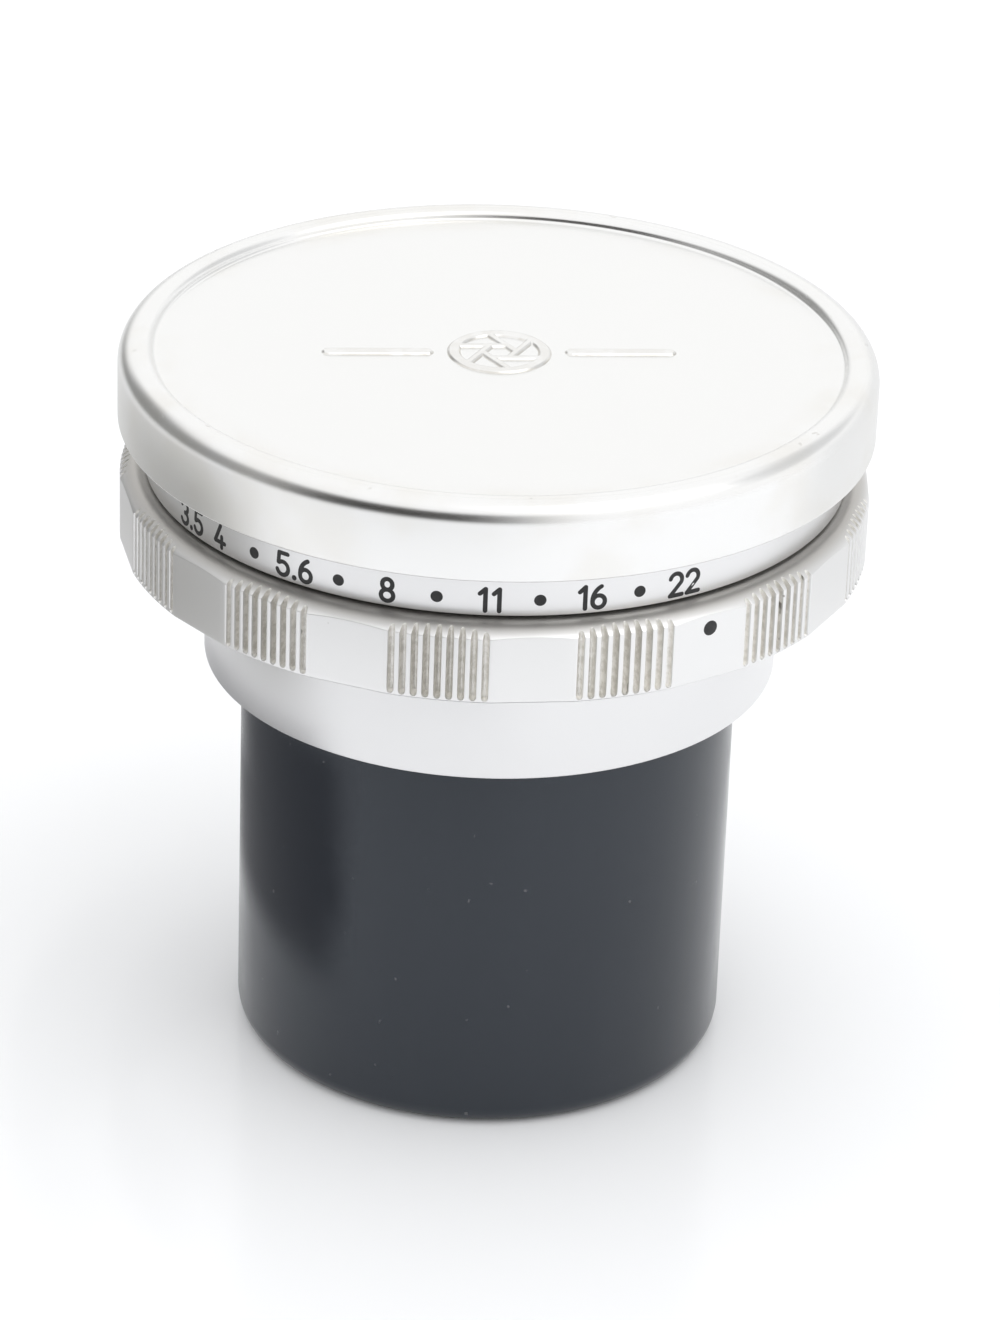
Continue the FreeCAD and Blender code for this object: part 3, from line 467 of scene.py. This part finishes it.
def merged(parts, name):
    """One mesh from closed solids that overlap, by exact union."""
    made = []
    for i, bm in enumerate(parts):
        bmesh.ops.recalc_face_normals(bm, faces=bm.faces)
        mesh = bpy.data.meshes.new(f"{name}_{i}")
        bm.to_mesh(mesh)
        bm.free()
        piece = bpy.data.objects.new(f"{name}_{i}", mesh)
        bpy.context.scene.collection.objects.link(piece)
        made.append(piece)
    for other in made[1:]:
        union = made[0].modifiers.new("union", "BOOLEAN")
        union.operation, union.solver, union.object = "UNION", "EXACT", other
    graph = bpy.context.evaluated_depsgraph_get()
    mesh = bpy.data.meshes.new_from_object(made[0].evaluated_get(graph))
    for piece in made:
        bpy.data.objects.remove(piece)
    return mesh


def disc(x, y, radius, depth, around=28):
    """A flat round solid standing on the XY plane."""
    bm = bmesh.new()
    angles = [2 * math.pi * k / around for k in range(around)]
    rings = [[bm.verts.new((x + radius * math.cos(a), y + radius * math.sin(a), z)) for a in angles]
             for z in (0, depth)]
    for k in range(around):
        n = (k + 1) % around
        bm.faces.new([rings[0][k], rings[0][n], rings[1][n], rings[1][k]])
    bm.faces.new(rings[1])
    bm.faces.new(rings[0][::-1])
    return bm


def build_numbers():
    """Numbers and half-stop dots, laid on the scale ring's cylinder and filled with paint."""
    spacing, last_stop = 16.0, 27.3                  # degrees a stop, azimuth of the 22
    four = last_stop - STOPS["22"] * spacing
    depth, proud, dot = 0.06, 0.004, 0.40            # dot is a half-stop dot's radius
    point_x, point_y, point_r = 0.12, 0.10, 0.105    # a decimal point, in units of the height
    half_stops = 5
    bm = bmesh.new()

    def lay(flat, x_middle, azimuth, scale):
        """Wrap a flat sign round the ring; its top face ends just proud of the metal."""
        for vert in flat.vertices:
            x, y, z = vert.co
            around = azimuth + math.degrees((x - x_middle) * scale / SCALE_R)
            reach = SCALE_R - depth + (depth + proud) * (z / depth)
            vert.co = polar(reach, around, NUMBER_Z + (y - 0.5) * scale)
        bm.from_mesh(flat)

    for text, offset in STOPS.items():
        width = sum(SIGNS[sign][1] for sign in text)
        pen = 0.0
        for place, sign in enumerate(text):
            strokes, advance = SIGNS[sign]
            parts = []
            for closed, points in strokes:
                if points is None:
                    parts.append(disc(pen + point_x, point_y, point_r, depth))
                    continue
                shifted = [(x + pen, y) for x, y in points]
                for run in ([shifted] if closed else smooth_runs(shifted)):
                    parts.append(ribbon(run, closed, STROKE / NUMBER_HEIGHT, depth))
            flat = merged(parts, f"sign_{text}_{place}")
            lay(flat, width / 2, four + offset * spacing, NUMBER_HEIGHT)
            pen += advance
    for half in range(half_stops):
        flat = merged([disc(0, 0.5, dot / NUMBER_HEIGHT, depth)], f"half_stop_{half}")
        lay(flat, 0, four + (half + 0.5) * spacing, NUMBER_HEIGHT)
    return finish_mesh("stop_numbers", bm, body="head", slot="enamel",
                       replaces=["scale_numerals"])


# ---------------------------------------------------------------- cap
def inner_reach(drop):
    """How far inside the bead's crest its inner wall stands, at a drop below the crest."""
    reach, fall, squareness = 0.97, 0.95, 2.6
    height = max(1 - drop / fall, 0.0)
    return reach * (1 - height ** squareness) ** (1 / squareness)


def build_cap():
    """The pressed cap: a skirt, a round bead and a flat panel sunk inside the bead."""
    wall, underside = 0.85, CAP_TOP - 1.45
    bead_r, bead_outer, fillet = 24.1, 1.4, 0.28
    outer_steps, inner_steps, fillet_steps = 16, 13, 7
    crowding = 1.6        # sets the inner wall's points closer together near the crest
    inner = CAP_R - wall
    bead = []
    for k in range(outer_steps + 1):
        angle = math.radians(90 * k / outer_steps)
        bead.append((bead_r + bead_outer * math.cos(angle),
                     CAP_TOP - bead_outer * (1 - math.sin(angle)), 0))
    for k in range(1, inner_steps + 1):
        drop = (CAP_TOP - PANEL_Z - fillet) * (k / inner_steps) ** crowding
        bead.append((bead_r - inner_reach(drop), CAP_TOP - drop, 0))
    wall_r = bead[-1][0]
    for k in range(1, fillet_steps + 1):
        angle = math.radians(90 * k / fillet_steps)
        bead.append((wall_r - fillet * (1 - math.cos(angle)),
                     PANEL_Z + fillet * (1 - math.sin(angle)), 0))
    return lathe("cap_pressing", [
        (0, underside, 0), (inner, underside, 0.5), (inner, CAP_FOOT, 0.12),
        (CAP_R, CAP_FOOT, 0.18)] + bead + [(0, PANEL_Z, 0)],
        body="cap", slot="cap_alloy", replaces=["cap_shell"])


def emblem_height(x, y):
    """Height share of the rosette and bars at a point of the panel: 1 on top, -1 well outside."""
    ring_r, ring_half = 3.05, 0.36
    leaves, leaf_inner, leaf_outer, leaf_half, leaf_slant = 6, 1.15, 2.95, 0.24, 120
    bar_start, bar_end, bar_half = 4.9, 11.4, 0.42
    soft = 0.22           # width of the sloping sides
    inside = [ring_half - abs(math.hypot(x, y) - ring_r)]
    for k in range(leaves):
        turn = 360 / leaves * k
        angle = math.radians(turn)
        heading = math.radians(turn + leaf_slant)
        start = Vector((leaf_inner * math.cos(angle), leaf_inner * math.sin(angle)))
        away = Vector((math.cos(heading), math.sin(heading)))
        towards = start.dot(away)
        length = -towards + math.sqrt(towards ** 2 + leaf_outer ** 2 - leaf_inner ** 2)
        inside.append(leaf_half - off_segment(x, y, start, start + away * length))
    for side in (-1, 1):
        off = off_segment(x, y, Vector((side * bar_start, 0.0)), Vector((side * bar_end, 0.0)))
        inside.append(bar_half - off)
    rise = min(max(max(inside) / soft + 0.5, -1.0), 1.0)
    if rise <= 0:
        return rise
    return rise * rise * (3 - 2 * rise)


def off_segment(x, y, start, end):
    """Distance of a point from a straight line between two points."""
    along = end - start
    share = (Vector((x, y)) - start).dot(along) / along.length_squared
    nearest = start + along * min(max(share, 0), 1)
    return (Vector((x, y)) - nearest).length


def build_emblem():
    """A raised generic rosette between bars, pressed into the panel with soft edges.

    Its attribute for grime and painted shade is 1 at the foot of the raised parts, where it paints
    crease shade along with grime, and low on their tops.
    """
    patch_x, patch_y, cell = 24, 7.2, 0.05
    height, sunk, skirt = 0.17, 0.04, 0.3
    cut = 0.3             # height share below the panel where the surface ends
    # The tops carry a faint share of grime and painted shade; the band of painted crease shade and
    # grime peaks near the relief's foot.
    top_grime_and_shade, foot_share, foot_spread = 0.3, 0.25, 0.55
    columns, rows = int(patch_x / cell), int(patch_y / cell)

    def spot(i, j):
        return (i - columns / 2) * cell, (j - rows / 2) * cell

    shares = {(i, j): emblem_height(*spot(i, j))
              for i in range(columns + 1) for j in range(rows + 1)}
    bm = bmesh.new()
    grime_and_shade = bm.verts.layers.float.new("grime_and_shade")
    grid = {}
    for i in range(columns):
        for j in range(rows):
            corners = [(i, j), (i + 1, j), (i + 1, j + 1), (i, j + 1)]
            if max(shares[c] for c in corners) <= -cut:
                continue
            for c in corners:
                if c in grid:
                    continue
                x, y = spot(*c)
                share = shares[c]
                rise = height * share if share > 0 else sunk * share / cut
                grid[c] = bm.verts.new((x * MM, y * MM, (PANEL_Z + max(rise, -sunk)) * MM))
                on_top = top_grime_and_shade * min(max(share, 0.0), 1.0)
                grid[c][grime_and_shade] = max(on_top, 1 - abs(share - foot_share) / foot_spread)
            bm.faces.new([grid[c] for c in corners])
    rim = [edge for edge in bm.edges if edge.is_boundary]
    foot = {}
    for edge in rim:
        for vert in edge.verts:
            if vert not in foot:
                foot[vert] = bm.verts.new((vert.co.x, vert.co.y, (PANEL_Z - skirt) * MM))
                foot[vert][grime_and_shade] = vert[grime_and_shade]
        a, b = edge.verts
        bm.faces.new([a, b, foot[b], foot[a]])
    open_edges = [edge for edge in bm.edges if edge.is_boundary]
    bmesh.ops.holes_fill(bm, edges=open_edges, sides=0)
    return finish_mesh("cap_rosette", bm, crease=60.0, body="cap", slot="cap_alloy",
                       replaces=["cap_emblem"])


# ---------------------------------------------------------------- materials
class Shader:
    """A node material being built: one Principled surface and helpers to feed it."""

    def __init__(self, name, colour, metallic=0.0, roughness=0.4, **sockets):
        self.material = bpy.data.materials.new(name)
        self.material.use_nodes = True
        self.tree = self.material.node_tree
        self.tree.nodes.clear()
        self.out = self.node("ShaderNodeOutputMaterial")
        self.surface = self.node("ShaderNodeBsdfPrincipled")
        self.link(self.surface.outputs[0], self.out.inputs["Surface"])
        self.surface.inputs["Base Color"].default_value = (*colour, 1)
        self.surface.inputs["Metallic"].default_value = metallic
        self.surface.inputs["Roughness"].default_value = roughness
        for socket, value in sockets.items():
            self.surface.inputs[socket.replace("_", " ")].default_value = value
        self.coords = None

    def node(self, kind, **settings):
        """A new node with the settings given."""
        made = self.tree.nodes.new(kind)
        for key, value in settings.items():
            setattr(made, key, value)
        return made

    def link(self, source, target):
        self.tree.links.new(source, target)

    def place(self, scale=(1, 1, 1)):
        """Object coordinates, scaled."""
        if self.coords is None:
            self.coords = self.node("ShaderNodeTexCoord")
        mapping = self.node("ShaderNodeMapping")
        mapping.inputs["Scale"].default_value = scale
        self.link(self.coords.outputs["Object"], mapping.inputs["Vector"])
        return mapping.outputs["Vector"]

    def noise(self, scale, detail=3.0, roughness=0.55, stretch=(1, 1, 1)):
        """Noise over the surface, with so many features to the metre."""
        made = self.node("ShaderNodeTexNoise")
        made.inputs["Scale"].default_value = scale
        made.inputs["Detail"].default_value = detail
        made.inputs["Roughness"].default_value = roughness
        self.link(self.place(stretch), made.inputs["Vector"])
        return made.outputs["Fac"]

    def ramp(self, value, *stops):
        """Map a value through (position, grey or colour) stops."""
        made = self.node("ShaderNodeValToRGB")
        made.color_ramp.interpolation = "EASE"
        elements = made.color_ramp.elements
        while len(elements) < len(stops):
            elements.new(0.5)
        for element, (position, colour) in zip(elements, stops):
            element.position = position
            element.color = (colour,) * 3 + (1,) if isinstance(colour, float) else (*colour, 1)
        self.link(value, made.inputs["Fac"])
        return made.outputs["Color"]

    def feed(self, socket, value):
        """Link a value to one of the surface's sockets."""
        self.link(value, self.surface.inputs[socket])

    def bump(self, height, strength, distance):
        """Add a bump, on top of any that the surface already has; distance is in metres."""
        made = self.node("ShaderNodeBump")
        made.inputs["Strength"].default_value = strength
        made.inputs["Distance"].default_value = distance
        self.link(height, made.inputs["Height"])
        last = self.surface.inputs["Normal"]
        if last.is_linked:
            self.link(last.links[0].from_socket, made.inputs["Normal"])
        self.feed("Normal", made.outputs["Normal"])

    def math(self, operation, first, second):
        """The result of an operation on two values, each a number or an output."""
        made = self.node("ShaderNodeMath", operation=operation)
        for socket, value in zip(made.inputs, (first, second)):
            if isinstance(value, float):
                socket.default_value = value
            else:
                self.link(value, socket)
        return made.outputs[0]

    def blend(self, share, low, high):
        """A colour between two, each a colour or an output, by a share from 0 to 1."""
        made = self.node("ShaderNodeMix", data_type="RGBA")
        self.link(share, made.inputs["Factor"])
        for socket, value in ((made.inputs["A"], low), (made.inputs["B"], high)):
            if isinstance(value, tuple):
                socket.default_value = (*value, 1)
            else:
                self.link(value, socket)
        return made.outputs["Result"]

    def height(self):
        """The point's z, in metres."""
        split = self.node("ShaderNodeSeparateXYZ")
        self.link(self.place(), split.inputs[0])
        return split.outputs["Z"]

    def radius(self):
        """The point's distance from the optical axis, in metres."""
        flat = self.node("ShaderNodeVectorMath", operation="LENGTH")
        self.link(self.place((1, 1, 0)), flat.inputs[0])
        return flat.outputs["Value"]

    def turning(self, scale):
        """Noise that only changes with radius and height, like a lathe tool's marks."""
        pair = self.node("ShaderNodeCombineXYZ")
        self.link(self.radius(), pair.inputs["X"])
        self.link(self.height(), pair.inputs["Y"])
        made = self.node("ShaderNodeTexNoise")
        made.inputs["Scale"].default_value = scale
        made.inputs["Detail"].default_value = 1.0
        self.link(pair.outputs[0], made.inputs["Vector"])
        return made.outputs["Fac"]

    def cloud(self, socket, scale, low, high, spread=0.15):
        """Let a socket drift between two greys or colours."""
        self.feed(socket, self.ramp(self.noise(scale), (0.5 - spread, low), (0.5 + spread, high)))


def satin(name, tint, roughness=0.3, lines=0.05):
    """Satin anodised alloy: fine turning marks, and a finish that clouds a little."""
    shading, spread = 0.975, 0.35
    marks_per_metre, marks_depth = 5200, 0.00001
    s = Shader(name, tint, metallic=1.0, roughness=roughness)
    darker = tuple(shading * channel for channel in tint)
    s.cloud("Base Color", 50, darker, tint, spread)
    s.cloud("Roughness", 40, roughness - 0.02, roughness + 0.03, spread)
    s.bump(s.turning(marks_per_metre), lines, marks_depth)
    return s


def worn_cap():
    """The cap's alloy: small dings along its bead, and grime with painted crease shade round the foot
    of the emblem.
    """
    tint, dull = (0.86, 0.86, 0.855), (0.82, 0.82, 0.81)
    rim_stain, ding = (0.80, 0.785, 0.75), (0.72, 0.71, 0.69)
    # The next colour is grime with painted shade, for the creases round the emblem.
    emblem_stain_and_shade = (0.60, 0.57, 0.51)
    s = satin("cap_alloy", tint, 0.25)
    on_bead = s.ramp(s.math("MULTIPLY", s.height(), 1 / CAP_TOP / MM), (0.988, 0.0), (0.993, 1.0))
    dings = s.ramp(s.noise(1100, 3, stretch=(1, 1, 2)), (0.68, 0.0), (0.74, 1.0))
    marks = s.math("MULTIPLY", on_bead, dings)
    grime_and_shade = s.node("ShaderNodeAttribute", attribute_name="grime_and_shade").outputs["Fac"]
    # Painted shade in the emblem's creases, mixed with grime, darkens the colour there.
    emblem_grime_and_shade = s.math("MULTIPLY", grime_and_shade, s.ramp(s.noise(900, 3), (0.30, 0.25), (0.60, 0.85)))
    blotches = s.ramp(s.noise(55, 4), (0.35, 0.965), (0.65, 1.0))
    panel = s.blend(blotches, dull, tint)
    near_rim = s.ramp(s.math("DIVIDE", s.radius(), CAP_R * MM), (0.80, 0.0), (0.90, 1.0))
    stained = s.math("MULTIPLY", near_rim, s.ramp(s.noise(160, 4), (0.42, 0.0), (0.70, 0.6)))
    worn = s.blend(marks, s.blend(stained, panel, rim_stain), ding)
    s.feed("Base Color", s.blend(emblem_grime_and_shade, worn, emblem_stain_and_shade))
    s.bump(marks, 0.35, -0.00003)
    return s


def dirty_ring():
    """The aperture ring's alloy; old grease greys the floors of its flutes and specks them. Its crown
    is painted darker towards the gap under the number ring, as shade.
    """
    clean, greased, mottled = (0.82, 0.82, 0.82), (0.95, 0.935, 0.905), (0.82, 0.805, 0.765)
    # The third colour of the next line is painted shade for the crown, next to the gap under the
    # number ring.
    speck, spot, gap_shade = (0.36, 0.35, 0.32), (0.35, 0.34, 0.31), (0.60, 0.585, 0.56)
    polished = 0.33
    s = satin("ring_alloy", clean, polished)
    depth = s.node("ShaderNodeAttribute", attribute_name="groove").outputs["Fac"]
    sunk = s.ramp(depth, (0.03, 0.0), (0.22, 1.0))
    grit = s.ramp(s.noise(2200, 3, 0.6), (0.40, 0.0), (0.62, 1.0))
    specks = s.ramp(s.noise(1300, 1, 0.4, stretch=(1, 1, 0.6)), (0.73, 0.0), (0.78, 1.0))
    grease = s.blend(specks, s.blend(grit, greased, mottled), speck)
    spots = s.ramp(s.noise(700, 3, 0.6), (0.735, 0.0), (0.76, 0.8))
    # Painted shade: the crown grows darker towards its top, in the gap under the number ring.
    crown = s.ramp(s.math("DIVIDE", s.height(), RING_TOP * MM), (0.982, 0.0), (0.9995, 1.0))
    smooth = s.blend(spots, s.blend(crown, clean, gap_shade), spot)
    s.feed("Base Color", s.blend(sunk, smooth, grease))
    sunk_roughness = s.ramp(sunk, (0.0, polished), (1.0, 0.55))
    crown_roughness = s.ramp(crown, (0.0, polished), (0.4, 0.50))
    s.feed("Roughness", s.math("MAXIMUM", sunk_roughness, crown_roughness))
    return s


def keeper_plastic():
    """Glossy blue-black plastic with a trace of dust and long soft rubs."""
    black, rubbed, dusty = (0.0085, 0.0105, 0.0150), (0.013, 0.015, 0.020), (0.075, 0.075, 0.08)
    s = Shader("keeper_black", black, roughness=0.17, IOR=1.6,
               Specular_Tint=(0.84, 0.91, 1.0, 1.0))
    dust = s.ramp(s.noise(1500, 1, 0.4), (0.775, 0.0), (0.80, 1.0))
    rubs = s.ramp(s.noise(420, 4, 0.6, stretch=(1, 1, 0.12)), (0.45, 0.0), (0.75, 0.35))
    s.feed("Base Color", s.blend(dust, s.blend(rubs, black, rubbed), dusty))
    s.cloud("Roughness", 160, 0.14, 0.21)
    return s


def grained(name, tint, roughness, scale, metallic=0.0, depth=0.00001, change=0.75, **sockets):
    """A plain material whose colour, gloss and surface all have a grain."""
    s = Shader(name, tint, metallic=metallic, roughness=roughness, **sockets)
    s.cloud("Base Color", scale, tuple(change * channel for channel in tint), tint)
    s.cloud("Roughness", scale * 0.6, roughness * 0.85, min(roughness * 1.15, 1.0))
    s.bump(s.noise(scale * 3, 3), 0.3, depth)
    return s


def coated_glass():
    """Clear glass with a faint violet coating that thins in soft patches."""
    s = Shader("optical_glass", (1, 1, 1), roughness=0.0, Transmission_Weight=1.0, IOR=1.6)
    s.cloud("Base Color", 40, (0.93, 0.92, 0.97), (0.97, 0.97, 0.99))
    return s


def finish_materials():
    """Make every material, and give each CAD node the one that its slot names."""
    looks = {
        "satin_alloy": satin("satin_alloy", (0.80, 0.80, 0.805)),
        "ring_alloy": dirty_ring(),
        "cap_alloy": worn_cap(),
        "thread_alloy": satin("thread_alloy", (0.72, 0.72, 0.70), 0.25, 0.12),
        "black_alloy": grained("black_alloy", (0.014, 0.014, 0.015), 0.45, 900),
        "keeper_black": keeper_plastic(),
        "enamel": grained("enamel", (0.016, 0.016, 0.017), 0.4, 2500, change=0.5),
        "felt": grained("felt", (0.025, 0.025, 0.028), 0.95, 1800, depth=0.00015, change=0.4),
        "optical_glass": coated_glass(),
        "blued_steel": grained("blued_steel", (0.05, 0.055, 0.07), 0.38, 500, metallic=1.0),
        "actuator_brass": grained("actuator_brass", (0.66, 0.50, 0.24), 0.33, 500, metallic=1.0),
        "screw_steel": grained("screw_steel", (0.60, 0.60, 0.60), 0.30, 700, metallic=1.0),
    }
    slots = {p["node"]: p["material_slot"] for p in frame["record"]["subparts"]}
    for node, piece in frame["nodes"].items():
        piece.data.materials.clear()
        piece.data.materials.append(looks[slots[node]].material)
    return looks


# ---------------------------------------------------------------- studio
def ease(share):
    """A smooth rise from 0 to 1."""
    share = min(max(share, 0.0), 1.0)
    return share * share * (3 - 2 * share)


def reflected_card(name, azimuths, heights, distance, glow, fades):
    """A curved card that only reflections see, and that fades out towards its four edges.

    It spans two azimuths and two heights at a distance from the axis. fades gives how far each
    edge's fade reaches: degrees at the first and last azimuth, then millimetres at the foot and
    at the top. Where it has faded out, reflections see what is behind it.
    """
    across, up = 48, 16
    first, last = azimuths
    foot, top = heights
    first_fade, last_fade, foot_fade, top_fade = fades
    bm = bmesh.new()
    strength = bm.verts.layers.float.new("strength")
    rows = []
    for j in range(up + 1):
        z = foot + (top - foot) * j / up
        row = []
        for k in range(across + 1):
            azimuth = first + (last - first) * k / across
            vert = bm.verts.new(polar(distance, azimuth, z))
            sides = ease((azimuth - first) / first_fade) * ease((last - azimuth) / last_fade)
            vert[strength] = sides * ease((z - foot) / foot_fade) * ease((top - z) / top_fade)
            row.append(vert)
        rows.append(row)
    for j in range(up):
        for k in range(across):
            bm.faces.new([rows[j][k], rows[j][k + 1], rows[j + 1][k + 1], rows[j + 1][k]])
    card = finish_mesh(name, bm)
    card.visible_camera = False
    card.visible_diffuse = False
    card.visible_shadow = False
    card.visible_transmission = False
    card.data.materials.append(fading_glow(name, glow))


def fading_glow(name, glow):
    """Light of one colour, mixed with clear by the "strength" attribute."""
    material = bpy.data.materials.new(name)
    material.use_nodes = True
    tree = material.node_tree
    tree.nodes.clear()
    out = tree.nodes.new("ShaderNodeOutputMaterial")
    mix = tree.nodes.new("ShaderNodeMixShader")
    clear = tree.nodes.new("ShaderNodeBsdfTransparent")
    emission = tree.nodes.new("ShaderNodeEmission")
    emission.inputs["Color"].default_value = (*glow, 1)
    share = tree.nodes.new("ShaderNodeAttribute")
    share.attribute_name = "strength"
    tree.links.new(share.outputs["Fac"], mix.inputs["Fac"])
    tree.links.new(clear.outputs[0], mix.inputs[1])
    tree.links.new(emission.outputs[0], mix.inputs[2])
    tree.links.new(mix.outputs[0], out.inputs["Surface"])
    return material


def build_studio():
    """A white tent: even white light, a pale floor, cards for the metal to mirror, and a key light."""
    scene = bpy.context.scene
    scene.view_settings.view_transform = "Standard"
    world = bpy.data.worlds.new("studio")
    scene.world = world
    world.use_nodes = True
    sky = world.node_tree.nodes["Background"]
    sky.inputs["Color"].default_value = (1, 1, 1, 1)
    sky.inputs["Strength"].default_value = 1.12
    build_floor()
    reflected_card("front_wall", (-95, 25), (-20, 560), 600, (0.03, 0.028, 0.026), (48, 40, 10, 180))
    reflected_card("left_wall", (-195, -50), (-20, 600), 620, (0.30, 0.30, 0.295), (55, 45, 10, 300))
    reflected_card("right_wall", (70, 150), (250, 800), 620, (0.74, 0.745, 0.75), (25, 25, 60, 150))
    reflected_card("left_card", (-178, -50), (6, 48), 45, (0.41, 0.407, 0.395), (95, 30, 20, 16))
    reflected_card("low_card", (-165, -48), (0, 20), 33, (0.33, 0.33, 0.34), (60, 15, 6, 2))
    reflected_card("foot_card", (-165, -46), (0, 14), 26, (0.33, 0.33, 0.34), (60, 18, 5, 3))
    reflected_card("right_card", (80, 200), (-1, 70), 80, (0.95, 0.955, 0.96), (15, 20, 8, 12))
    reflected_card("back_softbox", (130, 225), (100, 640), 600, (1.10, 1.10, 1.095), (20, 20, 90, 160))
    build_key_light()


def build_floor():
    """A square of pale satin acrylic, which mirrors the keeper faintly."""
    half = 2.0            # metres
    bm = bmesh.new()
    corners = ((-1, -1), (1, -1), (1, 1), (-1, 1))
    bm.faces.new([bm.verts.new((x * half, y * half, 0)) for x, y in corners])
    floor = finish_mesh("floor", bm)
    acrylic = Shader("floor_acrylic", (0.955, 0.962, 0.975), roughness=0.14,
                     Specular_IOR_Level=0.22)
    floor.data.materials.append(acrylic.material)


def build_key_light():
    """A soft light above, in front and to the right, which gives the shadows their side."""
    lamp = bpy.data.lights.new("key", "AREA")
    lamp.size = 0.5
    lamp.energy = 0.7
    light = bpy.data.objects.new("key", lamp)
    light.location = (0.30, -0.25, 0.66)
    aim = Vector((0, 0, 0.03))
    light.rotation_euler = (aim - light.location).to_track_quat("-Z", "Y").to_euler()
    bpy.context.scene.collection.objects.link(light)


def build_camera():
    """A long lens 27 degrees up and a little to the left, leaning by 2 degrees."""
    place = Vector((-24.7, -325.1, 194.2)) * MM
    aim = Vector((0.78, -0.06, 27.2)) * MM
    lens = bpy.data.cameras.new("camera")
    lens.lens = 145
    lens.clip_start = 0.01
    camera = bpy.data.objects.new("camera", lens)
    camera.location = place
    lean = Matrix.Rotation(math.radians(2.05), 4, "Z")
    facing = (aim - place).to_track_quat("-Z", "Y").to_matrix().to_4x4()
    camera.rotation_euler = (facing @ lean).to_euler()
    bpy.context.scene.collection.objects.link(camera)
    bpy.context.scene.camera = camera


# ---------------------------------------------------------------- assemble
looks = finish_materials()
pieces = ((build_keeper, "keeper_black"), (build_barrel, "satin_alloy"),
          (build_number_ring, "satin_alloy"), (build_aperture_ring, "ring_alloy"),
          (build_index_dot, "enamel"), (build_numbers, "enamel"),
          (build_cap, "cap_alloy"), (build_emblem, "cap_alloy"))
for build, look in pieces:
    piece = build()
    piece.data.materials.append(looks[look].material)
build_studio()
build_camera()
